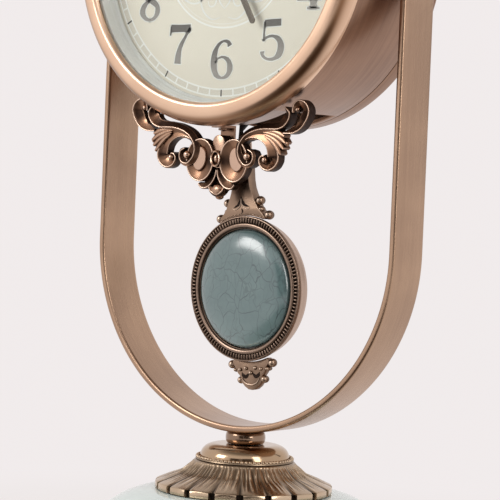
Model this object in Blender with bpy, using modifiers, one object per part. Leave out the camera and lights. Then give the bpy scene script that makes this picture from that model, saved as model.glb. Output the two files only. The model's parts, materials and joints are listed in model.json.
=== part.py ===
"""Pendulum clock on a ceramic base, in metres, +Z up.

The origin is on the floor under the middle of the base, and the dial looks along -Y.
"""

import math

import bmesh
import bpy
from mathutils import Matrix, Vector

MM = 0.001

# Clearances
SEAT = 0.3 * MM
HOLE_CLEARANCE = 0.3 * MM

# Facets round a full turn
LARGE_STEPS = 36
OVAL_STEPS = 28
MEDIUM_STEPS = 20
SMALL_STEPS = 12
SCREW_STEPS = 8

# Foot pads and plinth
PAD_COUNT = 4
PAD_RADIUS = 6 * MM
PAD_HEIGHT = 2 * MM
PLINTH_HEIGHT = 16 * MM
PLINTH_TOP_RADIUS = 75 * MM
PLINTH_BOTTOM_RADIUS = 84 * MM
PLINTH_WEB = 6 * MM
PLINTH_RIM = 16 * MM
PLINTH_EDGE = 1 * MM
# Points of the plinth's side, as shares of its flare outwards and of its height upwards.
PLINTH_SIDE = ((0, 0.8), (0.5, 0.6), (0.5, 0.44), (1, 0.3))

# Ceramic body
CERAMIC_HEIGHT = 92 * MM
CERAMIC_TOP_RADIUS = 50 * MM
CERAMIC_RADIUS = 95 * MM
CERAMIC_FOOT_RADIUS = 66 * MM
CERAMIC_SHOULDER = 42 * MM
CERAMIC_WALL = 5 * MM
CERAMIC_ARC_STEPS = 5
CERAMIC_INNER_STEPS = 2

# Flange between the ceramic body and the frame
SKIRT_HEIGHT = 20.8 * MM
SKIRT_RADIUS = 52.3 * MM
SKIRT_TOP_RADIUS = 29 * MM
SKIRT_RIM = 4 * MM
SKIRT_WALL = 2.2 * MM
SKIRT_LOBES = 20
SKIRT_LOBE_STEPS = 3
SKIRT_FLUTE = 0.7 * MM
SKIRT_NOTCH = 1.5 * MM
SKIRT_NOTCH_GROWTH = 4
SKIRT_LAND = 4 * MM
# Points of the skirt's side and of its hollow, as shares of its flare outwards and of its height upwards.
SKIRT_SIDE = ((0, 1), (0.16, 0.84), (0.50, 0.52), (0.78, 0.33))
SKIRT_HOLLOW = (0.2, 0.5)
SKIRT_HOLLOW_REACH = 0.28
SKIRT_PLAIN = 0.05
BEAD_RING_TUBE = 1.2 * MM
BEAD_RING_STEPS = 6
DOME_HEIGHT = 6.2 * MM
DOME_RADIUS = 26.2 * MM
DOME_ANGLES = (20, 45, 70, 90)
COLLAR_HEIGHT = 6.9 * MM
COLLAR_RADIUS = 11.8 * MM
COLLAR_ROUND = 1.2 * MM
COLLAR_ANGLES = (90, 45, 0, -45, -90)

# U frame of flat bar
ARM_GAP = 4.4 * MM
BAR_THICKNESS = 4.2 * MM
BAR_DEPTH = 29 * MM
BAR_EDGE = 1.8 * MM
ARM_END = 15.5 * MM
BEND_STEPS = 32
EDGE_STEPS = 2
ARM_END_STEPS = 12

# Tie screw through the base
TIE_RADIUS = 3 * MM
TIE_SKIN = 1.2 * MM
NUT_FLAT = 5 * MM
NUT_HEIGHT = 4.5 * MM
WASHER_RADIUS = 9 * MM
WASHER_HEIGHT = 1 * MM
TIE_END = 1.5 * MM

# Drum, carried between the arms
DRUM_RISE = 69 * MM
DRUM_RADIUS = 101.4 * MM
DRUM_WALL = 1.5 * MM
DRUM_FRONT = -44 * MM
DRUM_BACK = 23.5 * MM
REAR_FLANGE_WIDTH = 11.4 * MM
LEDGE_WIDTH = 17.4 * MM
SLOT_HALF_WIDTH = 40 * MM
SLOT_FRONT = -25 * MM
SLOT_BACK = 15 * MM
DRUM_CUT_DEPTH = 30 * MM

# Bezel, glass and reflector
BEZEL_LIP_WALL = 1.1 * MM
BEZEL_LIP_LENGTH = 2 * MM
BEZEL_LIP_STEP = 4 * MM
BEZEL_WIDTH = 9.2 * MM
BEZEL_RISE = 9.1 * MM
# Points of the bezel's face, as distances from its opening and from its outer edge and as shares of its rise.
BEZEL_INNER_ROUND = ((0, 0.22), (1.2 * MM, 0.08), (3.4 * MM, 0))
BEZEL_OUTER_ROUND = ((3.2 * MM, 0.02), (1.1 * MM, 0.15), (0, 0.38), (0.6 * MM, 0.78))
BEZEL_LIP_EDGE = 0.6 * MM
GLASS_LAP = 1.7 * MM
GLASS_THICKNESS = 2 * MM
GLASS_SETBACK = 4 * MM
REFLECTOR_SLOPE = 2.6 * MM
REFLECTOR_FOOT = 2.5 * MM
REFLECTOR_LIP = 0.4 * MM

# Dial
DIAL_FACE = -36.1 * MM
DIAL_THICKNESS = 1.2 * MM

# Back cover
COVER_DEPTH = 12.7 * MM
COVER_WALL = 1.5 * MM
COVER_OPENING = 45 * MM
COVER_ROUND = 2.4 * MM
COVER_SCREWS = 4
COVER_SCREW_RADIUS = 1.5 * MM
COVER_SCREW_HEAD = 3.2 * MM
SCREW_HEAD_HEIGHT = 1.8 * MM
SCREW_HEAD_SIDE = 0.5
SCREW_HEAD_TOP = 0.6
COVER_SCREW_REACH = 4 * MM

# Side knobs that hold the drum
STUD_RADIUS = 2.5 * MM
STUD_REACH = 6.5 * MM
KNOB_RADIUS = 8 * MM
KNOB_LENGTH = 13 * MM
# Points of the knob's side, as shares of its radius and distances from its outer end.
KNOB_SIDE = ((0.5, 0.5 * MM), (0.88, 2.2 * MM), (1, 5 * MM), (0.88, 7.8 * MM), (0.6, 9.6 * MM))
KNOB_NECK = 0.6
KNOB_FOOT = 0.95
KNOB_FOOT_HEIGHT = 1.4 * MM
KNOB_FOOT_TAPER = 0.4 * MM
SPACER_RADIUS = 7 * MM
SIDE_NUT_FLAT = 4.5 * MM
SIDE_NUT_HEIGHT = 3.5 * MM

# Movement
CASE_WIDTH = 56 * MM
CASE_HEIGHT = 56 * MM
CASE_DEPTH = 16 * MM
DRIVE_WIDTH = 34 * MM
DRIVE_DEPTH = 10 * MM
DRIVE_BELOW_PIVOT = 12 * MM
BUSH_RADIUS = 4.2 * MM
BUSH_BORE = 3 * MM
BUSH_PROUD = 3.4 * MM
BUSH_NUT_FLAT = 6.5 * MM
BUSH_NUT_HEIGHT = 2.4 * MM
BORE_DEPTH = 8 * MM
BATTERY_RADIUS = 7.1 * MM
BATTERY_LENGTH = 50.5 * MM
BATTERY_CAP = 2.6 * MM
BATTERY_CAP_HEIGHT = 1.2 * MM
BATTERY_EDGE = 0.6 * MM
BATTERY_ABOVE_AXIS = 15 * MM
SET_KNOB_RADIUS = 6.5 * MM
SET_KNOB_HEIGHT = 5 * MM
SET_KNOB_EDGE = 0.8 * MM
SET_KNOB_BELOW_AXIS = 13 * MM
SET_SHAFT_RADIUS = 1.5 * MM
SET_SHAFT_DEPTH = 6 * MM

# Hands, at five o'clock
HOUR_PIPE_RADIUS = 2.7 * MM
HOUR_PIPE_BORE = 1.9 * MM
MINUTE_ARBOR_RADIUS = 1.6 * MM
HOUR_BLADE_FACE = -41.6 * MM
MINUTE_BLADE_FACE = -44.6 * MM
BLADE_THICKNESS = 0.8 * MM
HOUR_REACH = 51 * MM
MINUTE_REACH = 76 * MM
HOUR_BLADE_WIDTH = 5 * MM
MINUTE_BLADE_WIDTH = 4 * MM
HAND_TAIL = 14 * MM
HAND_BOSS = 6 * MM
HAND_ROOT_SHARE = 0.36
HAND_BOSS_ARC = 70
HOUR_PIPE_PROUD = 0.4 * MM
MINUTE_CAP_RADIUS = 3.6 * MM
MINUTE_CAP_RISE = 1.2 * MM
HOUR_ANGLE = math.radians(150)
MINUTE_ANGLE = math.radians(0)

# Pendulum, caught in mid swing
PIVOT_DROP = 60.4 * MM
PENDULUM_SWING = math.radians(6.3)
PIN_RADIUS = 1.5 * MM
PIN_HEAD_RADIUS = 2.6 * MM
PIN_HEAD_LENGTH = 1 * MM
HANGER_THICKNESS = 2.3 * MM
HANGER_SETBACK = 10.8 * MM
HANGER_EYE_RADIUS = 5 * MM
HANGER_WIDTH = 5 * MM
HANGER_LENGTH = 48 * MM
HOOK_PIN_RADIUS = 1.3 * MM
ROD_THICKNESS = 1.4 * MM
ROD_WIDTH = 6 * MM
ROD_LAP = 26 * MM
BOB_DROP = 135.5 * MM
BOB_HALF_HEIGHT = 41.3 * MM
BOB_SQUEEZE = 0.932
BOB_FRONT = -27 * MM
BOB_RING_HEIGHT = 2.7 * MM
BOB_RING_WIDTH = 7.5 * MM
BOB_WALL = 1.5 * MM
RING_SPIGOT = 0.8 * MM
RING_STEP = 3.6 * MM
# Points of the ring's face: distances from its opening or from its outer edge, and behind its front.
RING_ROLL = ((1.8 * MM, 0.4 * MM), (3 * MM, 0), (RING_STEP, 0.7 * MM))
RING_RIM = ((0.8 * MM, 0.5 * MM), (0, 0.9 * MM))
CUP_RIM = 1 * MM
# Points of the cup's side: distances inside its rim, and shares of the bob's depth.
CUP_SIDE = ((0, 0.66), (3.2 * MM, 0.9), (10 * MM, 1))
CUP_INSIDE = 0.62
STONE_STEPS = 5
STONE_FULLNESS = 0.8
STONE_LAP = 1.2 * MM
STONE_GIRTH = 2 * MM
STONE_BACK = 12 * MM
BOB_DEPTH = 10.4 * MM
CABOCHON_RISE = 9 * MM
CROWN_THICKNESS = 7 * MM
CROWN_TOP_DROP = 64 * MM
CROWN_TOP_HALF = 3 * MM
CROWN_FOOT_HALF = 15 * MM
CROWN_BEAD_RADIUS = 2.2 * MM
CROWN_NECK = (4.2 * MM, 9 * MM)
CROWN_SHOULDER = (8.2 * MM, 19 * MM)
CROWN_SHOULDER_EDGE = (7.5 * MM, 3 * MM)
CROWN_WAIST = ((8.6 * MM, 4.5 * MM), (10.5 * MM, 8 * MM))
CROWN_FOOT_DROP = 11 * MM
CROWN_FOOT_STEP = 3 * MM
CROWN_OVERLAP = 8.3 * MM
CROWN_SCREW_DEPTH = 4 * MM
FINIAL_THICKNESS = 5.5 * MM
FINIAL_HALF = 15 * MM
FINIAL_LENGTH = 14.7 * MM
FINIAL_BEAD_RADIUS = 2.2 * MM
FINIAL_OVERLAP = 8.3 * MM
FINIAL_TOP_BEAD_RISE = 0.3 * MM
FINIAL_WAIST = (9.9 * MM, 9 * MM)
FINIAL_LOW_BEAD = (9 * MM, 4.6 * MM)
FINIAL_TIP = (4.2 * MM, 1.2 * MM)
ROD_SCREW_RADIUS = 1.3 * MM
ROD_SCREW_HEAD = 2.4 * MM
ROD_SCREW_REACH = 3.6 * MM
ROD_SCREW_DROP = 15.6 * MM
HOOK_PIN_PROUD = 0.8 * MM
HOOK_WALL = 2.2 * MM
HOOK_LIP = 3 * MM
HOOK_NECK = 7 * MM
HOOK_THROAT = 4 * MM

# Scroll ornament under the drum, placed from the arc centre of the frame
# The ornament's outlines are drawn in this unit, from the arc's centre.
ORNAMENT_UNIT = 1 * MM
ORNAMENT_FRONT = -38 * MM
ORNAMENT_DEPTH = 9 * MM
LEAF_RECESS = 0.8 * MM
OVAL_RECESS = 0.5 * MM
TIP_RECESS = 1.2 * MM
SCROLL_STEPS = 15
LEAF_TIPS = 5
LEAF_TIP_HEIGHT = 0.9 * MM
BALL_RADIUS = 2.6 * MM
EYE_RADIUS = 4.3 * MM
BALL_MIDDLE = 1.8 * MM
BALL_ANGLES = (0, 40, 80, 118)
EYE_BACK_RECESS = 1.1 * MM
EYE_STEPS = 8
EYE_PLACES = ((23.6, 51.2), (57.2, 76.8), (35, 48.4))
OVAL_CENTRE = (12.8 * MM, 48.6 * MM)
OVAL_HALF = (8.6 * MM, 12.3 * MM)
OVAL_LEAN = math.radians(8)
MEDALLION_CENTRE = 49.4 * MM
MEDALLION_HALF = (3.8 * MM, 6.4 * MM)
MEDALLION_RISE = 0.8 * MM
MEDALLION_DEPTH = 4 * MM
LUG_HALF_WIDTH = 5 * MM
LUG_TOP = 62 * MM
LUG_RECESS = 2 * MM
LUG_FOOT = 40 * MM
DROP_SIDE = ((0, 44), (4.2, 42), (5.6, 34), (4.6, 29.6), (0, 27.2))
RECESS_SHARE = 1.6
BRACKET_THICKNESS = 1.5 * MM
BRACKET_WIDTH = 10 * MM
BRACKET_FOOT = 10 * MM
BRACKET_SCREW_PLACE = 5.5 * MM
BRACKET_DROP = 16 * MM
BRACKET_SCREW_RADIUS = 1.5 * MM
BRACKET_SCREW_HEAD = 2.8 * MM
BRACKET_SCREW_REACH = 3.5 * MM
LUG_SCREW_HEIGHT = 57.5 * MM
LUG_SCREW_REACH = 5 * MM

# Heights and places that follow from the sizes above
FRAME_RADIUS = DRUM_RADIUS + ARM_GAP + BAR_THICKNESS
DRUM_ABOVE_ARC = DRUM_RISE + DRUM_RADIUS
BEZEL_LIP_BORE = DRUM_RADIUS + SEAT
BEZEL_LIP_RADIUS = BEZEL_LIP_BORE + BEZEL_LIP_WALL
BEZEL_OUTER_RADIUS = BEZEL_LIP_RADIUS - BEZEL_LIP_STEP
BEZEL_OPENING = BEZEL_OUTER_RADIUS - BEZEL_WIDTH
GLASS_RADIUS = BEZEL_OPENING + GLASS_LAP
REFLECTOR_INNER = BEZEL_OPENING - REFLECTOR_SLOPE
PLINTH_Z = PAD_HEIGHT + SEAT
CERAMIC_Z = PLINTH_Z + PLINTH_HEIGHT + SEAT
SKIRT_Z = CERAMIC_Z + CERAMIC_HEIGHT + SEAT
DOME_Z = SKIRT_Z + SKIRT_HEIGHT + SEAT
COLLAR_Z = DOME_Z + DOME_HEIGHT + SEAT
ARC_Z = COLLAR_Z + COLLAR_HEIGHT + SEAT + FRAME_RADIUS
DRUM_Z = ARC_Z + DRUM_ABOVE_ARC
PIVOT_Z = DRUM_Z - PIVOT_DROP
DIAL_BACK = DIAL_FACE + DIAL_THICKNESS
CASE_FRONT = DIAL_BACK + SEAT
CASE_BACK = CASE_FRONT + CASE_DEPTH
DRIVE_BACK = CASE_FRONT + DRIVE_DEPTH
COVER_FRONT = DRUM_BACK + SEAT
COVER_BACK = COVER_FRONT + COVER_DEPTH
BEZEL_SHOULDER = DRUM_FRONT - SEAT
BEZEL_FRONT = BEZEL_SHOULDER - BEZEL_RISE
ORNAMENT_BACK = ORNAMENT_FRONT + ORNAMENT_DEPTH
HANGER_BACK = ORNAMENT_BACK + HANGER_SETBACK
HANGER_FRONT = HANGER_BACK - HANGER_THICKNESS
ROD_FRONT = HANGER_BACK + SEAT
ROD_BACK = ROD_FRONT + ROD_THICKNESS


def clear_scene():
    """Remove every object of the open scene."""
    for obj in list(bpy.data.objects):
        bpy.data.objects.remove(obj)


clear_scene()
PARTS = bpy.data.collections.new("pendulum_clock")
CUTTERS = bpy.data.collections.new("cutters")
bpy.context.scene.collection.children.link(PARTS)
bpy.context.scene.collection.children.link(CUTTERS)


def material(name, colour, roughness, metallic):
    """A Principled material with one colour."""
    made = bpy.data.materials.new(name)
    made.use_nodes = True
    shader = made.node_tree.nodes["Principled BSDF"]
    shader.inputs["Base Color"].default_value = (*colour, 1)
    shader.inputs["Roughness"].default_value = roughness
    shader.inputs["Metallic"].default_value = metallic
    return made


COPPER = material("brushed_copper", (0.55, 0.36, 0.26), 0.32, 1.0)
BRIGHT_COPPER = material("bright_copper", (0.82, 0.58, 0.42), 0.22, 1.0)
ANTIQUE = material("antique_copper", (0.30, 0.18, 0.12), 0.35, 1.0)
BRONZE = material("gold_bronze", (0.42, 0.29, 0.18), 0.30, 1.0)
CERAMIC = material("celadon_glaze", (0.62, 0.70, 0.67), 0.12, 0.0)
CABOCHON = material("teal_glaze", (0.28, 0.40, 0.40), 0.08, 0.0)
DIAL = material("champagne_dial", (0.72, 0.68, 0.60), 0.45, 0.0)
REFLECTOR = material("grey_reflector", (0.50, 0.54, 0.55), 0.25, 0.6)
GLASS = material("clear_glass", (0.90, 0.93, 0.93), 0.03, 0.0)
HAND = material("hand_enamel", (0.20, 0.17, 0.14), 0.40, 0.5)
STEEL = material("zinc_steel", (0.55, 0.55, 0.54), 0.35, 1.0)
PLASTIC = material("black_plastic", (0.03, 0.03, 0.03), 0.45, 0.0)
CELL = material("cell_wrap", (0.10, 0.12, 0.14), 0.35, 0.2)
FELT = material("felt_pad", (0.10, 0.09, 0.08), 0.95, 0.0)


def add(name, mesh, look=None, helper=False):
    """Put a mesh in the scene, as a sub-part or as a hidden helper."""
    obj = bpy.data.objects.new(name, mesh)
    (CUTTERS if helper else PARTS).objects.link(obj)
    if helper:
        obj.hide_render = True
        obj.display_type = "WIRE"
    if look:
        mesh.materials.append(look)
    return obj


def mesh_from(name, build):
    """A mesh made by a function that fills a bmesh."""
    shape = bmesh.new()
    build(shape)
    bmesh.ops.recalc_face_normals(shape, faces=shape.faces)
    mesh = bpy.data.meshes.new(name)
    shape.to_mesh(mesh)
    shape.free()
    mesh.shade_smooth()
    mesh.set_sharp_from_angle(angle=math.radians(35))
    return mesh


def turned(name, profile, look=None, height=0.0, steps=MEDIUM_STEPS, closed=True, helper=False):
    """Turn (radius, height) points round Z. The outer side runs from top to bottom."""
    count = len(profile)
    edges = [(i, i + 1) for i in range(count - 1)] + [(count - 1, 0)] * closed
    mesh = bpy.data.meshes.new(name)
    mesh.from_pydata([(radius, 0, z) for radius, z in profile], edges, [])
    obj = add(name, mesh, look, helper)
    obj.location.z = height
    screw = obj.modifiers.new("Turn", "SCREW")
    screw.steps = steps
    screw.render_steps = steps
    screw.use_merge_vertices = True
    screw.merge_threshold = 1e-6
    screw.use_smooth_shade = True
    return obj


def faced(obj, height, x=0.0, y=0.0):
    """Aim a turned piece at the front: its local +Z becomes -Y."""
    obj.rotation_euler = (math.radians(90), 0, 0)
    obj.location = (x, y, height)
    return obj


def front_turned(name, profile, look=None, height=0.0, x=0.0, steps=MEDIUM_STEPS, closed=True, helper=False):
    """Turn (radius, y) points round an axis along Y. The outer side runs from front to back."""
    flipped = [(radius, -y) for radius, y in profile]
    return faced(turned(name, flipped, look, 0.0, steps, closed, helper), height, x)


def box(name, low, high, look=None, helper=False):
    """A box between two corners."""
    def build(shape):
        bmesh.ops.create_cube(shape, size=1)
        size = Vector(high) - Vector(low)
        middle = (Vector(high) + Vector(low)) / 2
        place = Matrix.Translation(middle) @ Matrix.Diagonal((*size, 1))
        bmesh.ops.transform(shape, matrix=place, verts=shape.verts)
    return add(name, mesh_from(name, build), look, helper)


def cylinder(name, radius, start, end, look=None, steps=SMALL_STEPS, helper=False):
    """A cylinder between two points."""
    start, end = Vector(start), Vector(end)
    along = end - start

    def build(shape):
        bmesh.ops.create_cone(
            shape, cap_ends=True, segments=steps, radius1=radius, radius2=radius, depth=along.length,
        )
        turn = along.to_track_quat("Z", "Y").to_matrix().to_4x4()
        bmesh.ops.transform(shape, matrix=Matrix.Translation((start + end) / 2) @ turn, verts=shape.verts)
    return add(name, mesh_from(name, build), look, helper)


def plate(name, outline, front, thickness, look=None, helper=False):
    """A flat piece: an outline of (x, z) points, filled and given its thickness along Y."""
    curve = bpy.data.curves.new(name, "CURVE")
    curve.dimensions = "2D"
    curve.fill_mode = "BOTH"
    curve.extrude = thickness / 2
    spline = curve.splines.new("POLY")
    spline.points.add(len(outline) - 1)
    for point, (x, z) in zip(spline.points, outline):
        point.co = (x, z, 0, 1)
    spline.use_cyclic_u = True
    guide = bpy.data.objects.new(name + "_outline", curve)
    CUTTERS.objects.link(guide)
    bpy.context.view_layer.update()
    mesh = bpy.data.meshes.new_from_object(guide.evaluated_get(bpy.context.evaluated_depsgraph_get()))
    bpy.data.objects.remove(guide)
    shape = bmesh.new()
    shape.from_mesh(mesh)
    bmesh.ops.remove_doubles(shape, verts=shape.verts, dist=1e-6)
    stand = Matrix.Translation((0, front + thickness / 2, 0)) @ Matrix.Rotation(math.radians(90), 4, "X")
    bmesh.ops.transform(shape, matrix=stand, verts=shape.verts)
    bmesh.ops.recalc_face_normals(shape, faces=shape.faces)
    shape.to_mesh(mesh)
    shape.free()
    mesh.materials.clear()
    return add(name, mesh, look, helper)


def combine(obj, other, operation, solver="EXACT"):
    """Boolean between a sub-part and a helper."""
    modifier = obj.modifiers.new(operation.title(), "BOOLEAN")
    modifier.operation = operation
    modifier.solver = solver
    modifier.object = other
    return obj


def cut(obj, *others):
    for other in others:
        combine(obj, other, "DIFFERENCE")
    return obj


def fuse(obj, *others, solver="EXACT"):
    for other in others:
        combine(obj, other, "UNION", solver)
    return obj


def arc(centre, radius, start, end, count):
    """Points (x, z) along a circle's arc, with angles in degrees."""
    angles = [math.radians(start + (end - start) * i / (count - 1)) for i in range(count)]
    return [(centre[0] + radius * math.cos(a), centre[1] + radius * math.sin(a)) for a in angles]


def mirrored(half):
    """A closed outline from its right half, which runs from the top of the middle line to its bottom."""
    left = [(-x, z) for x, z in reversed(half) if x > 1e-7]
    return list(half) + left


def smooth(points, count):
    """A smooth curve through the points, as count points evenly spread over its spans."""
    padded = [points[0], *points, points[-1]]
    spans = len(points) - 1
    made = []
    for i in range(count):
        place = spans * i / (count - 1)
        span = min(int(place), spans - 1)
        t = place - span
        a, b, c, d = (Vector(p) for p in padded[span:span + 4])
        value = 2 * b + (c - a) * t + (2 * a - 5 * b + 4 * c - d) * t ** 2 + (3 * b - a - 3 * c + d) * t ** 3
        made.append(value / 2)
    return made


def spread(values, t):
    """The value at t, from 0 to 1, of a line through evenly spaced values."""
    place = t * (len(values) - 1)
    low = min(int(place), len(values) - 2)
    return values[low] + (values[low + 1] - values[low]) * (place - low)


def band(edge, widths, side, tips=0):
    """The outline of a scroll: a smooth outer edge, and an inner edge on its left (1) or right (-1)."""
    outer = smooth([Vector(p) * ORNAMENT_UNIT for p in edge], SCROLL_STEPS)
    inner = []
    raised = []
    for i, point in enumerate(outer):
        before, after = outer[max(i - 1, 0)], outer[min(i + 1, len(outer) - 1)]
        along = (after - before).normalized()
        normal = Vector((-along.y, along.x)) * side
        t = i / (len(outer) - 1)
        inner.append(point + normal * spread(widths, t) * ORNAMENT_UNIT)
        lift = LEAF_TIP_HEIGHT * abs(math.sin(math.pi * tips * t)) * math.sin(math.pi * t) if tips else 0
        raised.append(point - normal * lift)
    return [tuple(p) for p in raised] + [tuple(p) for p in reversed(inner)]


def oval(centre, half, lean=0.0, count=16):
    """An oval outline that leans by an angle."""
    made = []
    for i in range(count):
        angle = math.tau * i / count
        x, z = half[0] * math.cos(angle), half[1] * math.sin(angle)
        made.append((
            centre[0] + x * math.cos(lean) - z * math.sin(lean),
            centre[1] + x * math.sin(lean) + z * math.cos(lean),
        ))
    return made


def raise_to(outline, height):
    return [(x, z + height) for x, z in outline]


def hex_nut(name, flat, low, high, bore, look):
    """A hexagon nut along the line from low to high, with its bore."""
    nut = cylinder(name, flat / math.cos(math.pi / 6), low, high, look, steps=6)
    reach = (Vector(high) - Vector(low)).normalized() * MM
    hole = cylinder(name + "_bore", bore, Vector(low) - reach, Vector(high) + reach, helper=True)
    return cut(nut, hole)


# Base

def foot_pads():
    ring = PLINTH_BOTTOM_RADIUS - PLINTH_RIM / 2
    for i in range(PAD_COUNT):
        angle = math.tau * (i + 0.5) / PAD_COUNT
        x, y = ring * math.cos(angle), ring * math.sin(angle)
        cylinder(f"foot_pad_{i + 1}", PAD_RADIUS, (x, y, 0), (x, y, PAD_HEIGHT), FELT)


def plinth():
    """A cast foot with a stepped moulding, and a recess under its web for the nut."""
    top, high, low = PLINTH_TOP_RADIUS, PLINTH_HEIGHT, PLINTH_BOTTOM_RADIUS
    hole = TIE_RADIUS + HOLE_CLEARANCE
    side = [(top + out * (low - top), up * high) for out, up in PLINTH_SIDE]
    profile = [
        (hole, high), (top - PLINTH_EDGE, high), (top, high - PLINTH_EDGE), *side, (low, PLINTH_EDGE),
        (low - PLINTH_EDGE, 0), (low - PLINTH_RIM, 0), (low - PLINTH_RIM, high - PLINTH_WEB),
        (hole, high - PLINTH_WEB),
    ]
    turned("base_plinth", profile, BRONZE, PLINTH_Z, LARGE_STEPS)


def ceramic_profile(shrink, top, count):
    """The side of the body from its top to its foot, drawn in by shrink, with count points on each arc."""
    waist = top - CERAMIC_SHOULDER
    points = []
    for i in range(count + 1):
        angle = math.pi / 2 * i / count
        radius = CERAMIC_TOP_RADIUS + (CERAMIC_RADIUS - shrink - CERAMIC_TOP_RADIUS) * math.sin(angle)
        points.append((radius, waist + (CERAMIC_SHOULDER - shrink) * math.cos(angle)))
    for i in range(1, count):
        angle = math.pi / 2 * i / count
        radius = CERAMIC_FOOT_RADIUS + (CERAMIC_RADIUS - CERAMIC_FOOT_RADIUS) * math.cos(angle) - shrink
        points.append((radius, waist * (1 - math.sin(angle))))
    points.append((CERAMIC_FOOT_RADIUS - shrink, 0))
    return points


def ceramic_body():
    hole = TIE_RADIUS + HOLE_CLEARANCE
    high, wall = CERAMIC_HEIGHT, CERAMIC_WALL
    outer = [(hole, high), *ceramic_profile(0, high, CERAMIC_ARC_STEPS)]
    inner = [(hole, high - wall), *ceramic_profile(wall, high, CERAMIC_INNER_STEPS)]
    turned("ceramic_body", outer + inner[::-1], CERAMIC, CERAMIC_Z, LARGE_STEPS)


def lotus_skirt():
    """A flaring cast skirt with raised flutes, and a square notch between its lobes."""
    hole = TIE_RADIUS + HOLE_CLEARANCE
    high, low, top = SKIRT_HEIGHT, SKIRT_RADIUS, SKIRT_TOP_RADIUS
    flare = low - top
    outer = [(top + out * flare, up * high) for out, up in SKIRT_SIDE]
    hollow = (top + SKIRT_HOLLOW[0] * flare, high * SKIRT_HOLLOW[1])
    profile = [
        (hole, high), *outer, (low, SKIRT_RIM), (low, 0), (low - SKIRT_WALL, 0), hollow,
        (top - SKIRT_LAND, high - SKIRT_WALL), (hole, high - SKIRT_WALL),
    ]

    def push_of(radius, height, angle):
        """How far a point of the outer side moves out: flutes and lobes grow towards the rim."""
        outside = height > high * SKIRT_HOLLOW_REACH or radius > low - SKIRT_WALL / 2
        if not outside or radius < top + SKIRT_PLAIN * flare:
            return 0.0
        share = (radius - top) / flare
        turn = angle / math.tau * SKIRT_LOBES
        in_notch = abs(turn - round(turn)) < 1 / (2 * SKIRT_LOBE_STEPS)
        return -SKIRT_NOTCH * share ** SKIRT_NOTCH_GROWTH if in_notch else SKIRT_FLUTE * share

    def build(shape):
        corners = [shape.verts.new((radius, 0, z)) for radius, z in profile]
        edges = [shape.edges.new(pair) for pair in zip(corners, corners[1:] + corners[:1])]
        bmesh.ops.spin(
            shape, geom=corners + edges, axis=(0, 0, 1), cent=(0, 0, 0),
            steps=SKIRT_LOBES * SKIRT_LOBE_STEPS, angle=math.tau, use_merge=True,
        )
        for vert in shape.verts:
            x, y, z = vert.co
            radius = math.hypot(x, y)
            grown = 1 + push_of(radius, z, math.atan2(y, x)) / radius
            vert.co = (x * grown, y * grown, z)

    skirt = add("lotus_skirt", mesh_from("lotus_skirt", build), BRONZE)
    skirt.location.z = SKIRT_Z


def bead_ring():
    """The beaded ring that lies round the foot of the dome."""
    middle = DOME_RADIUS + SEAT + BEAD_RING_TUBE
    profile = [
        (middle + BEAD_RING_TUBE * math.sin(a), BEAD_RING_TUBE * (1 + math.cos(a)))
        for a in (math.tau * i / BEAD_RING_STEPS + math.pi / BEAD_RING_STEPS for i in range(BEAD_RING_STEPS))
    ]
    turned("bead_ring", profile, BRONZE, DOME_Z, OVAL_STEPS)


def dome_and_collar():
    hole = TIE_RADIUS + HOLE_CLEARANCE
    high, wide = DOME_HEIGHT, DOME_RADIUS
    dome = [(hole, high)]
    for angle in map(math.radians, DOME_ANGLES):
        dome.append((wide * math.sin(angle), high * math.cos(angle)))
    turned("flange_dome", [*dome, (hole, 0)], BRONZE, DOME_Z, OVAL_STEPS)
    side = [
        (COLLAR_RADIUS - COLLAR_ROUND * (1 - math.cos(angle)), COLLAR_HEIGHT / 2 * (1 + math.sin(angle)))
        for angle in map(math.radians, COLLAR_ANGLES)
    ]
    turned("neck_collar", [(hole, COLLAR_HEIGHT), *side, (hole, 0)], BRONZE, COLLAR_Z, MEDIUM_STEPS)


def tie_screw():
    """A long screw, fixed in a blind hole under the bar, that clamps the whole base to the frame."""
    top = ARC_Z - FRAME_RADIUS + BAR_THICKNESS - TIE_SKIN - SEAT
    nut_top = PLINTH_Z + PLINTH_HEIGHT - PLINTH_WEB - 2 * SEAT - WASHER_HEIGHT
    profile = [(0, top), (TIE_RADIUS, top), (TIE_RADIUS, PAD_HEIGHT + TIE_END), (0, PAD_HEIGHT + TIE_END)]
    turned("tie_screw", profile, STEEL, 0, SMALL_STEPS, closed=False)
    bore = TIE_RADIUS + HOLE_CLEARANCE
    hex_nut("tie_nut", NUT_FLAT, (0, 0, nut_top - NUT_HEIGHT), (0, 0, nut_top), bore, STEEL)
    low = nut_top + SEAT
    high = low + WASHER_HEIGHT
    washer = [(bore, high), (WASHER_RADIUS, high), (WASHER_RADIUS, low), (bore, low)]
    turned("tie_washer", washer, STEEL, 0, SMALL_STEPS)


# Frame

def bar_section():
    """The bar's cross section with rounded edges, as (out, depth) points from its middle."""
    half_out, half_depth = BAR_THICKNESS / 2 - BAR_EDGE, BAR_DEPTH / 2 - BAR_EDGE
    corners = ((half_out, half_depth, 0), (-half_out, half_depth, 90), (-half_out, -half_depth, 180),
               (half_out, -half_depth, 270))
    points = []
    for out, depth, start in corners:
        points += arc((out, depth), BAR_EDGE, start, start + 90, EDGE_STEPS + 1)
    return points


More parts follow.
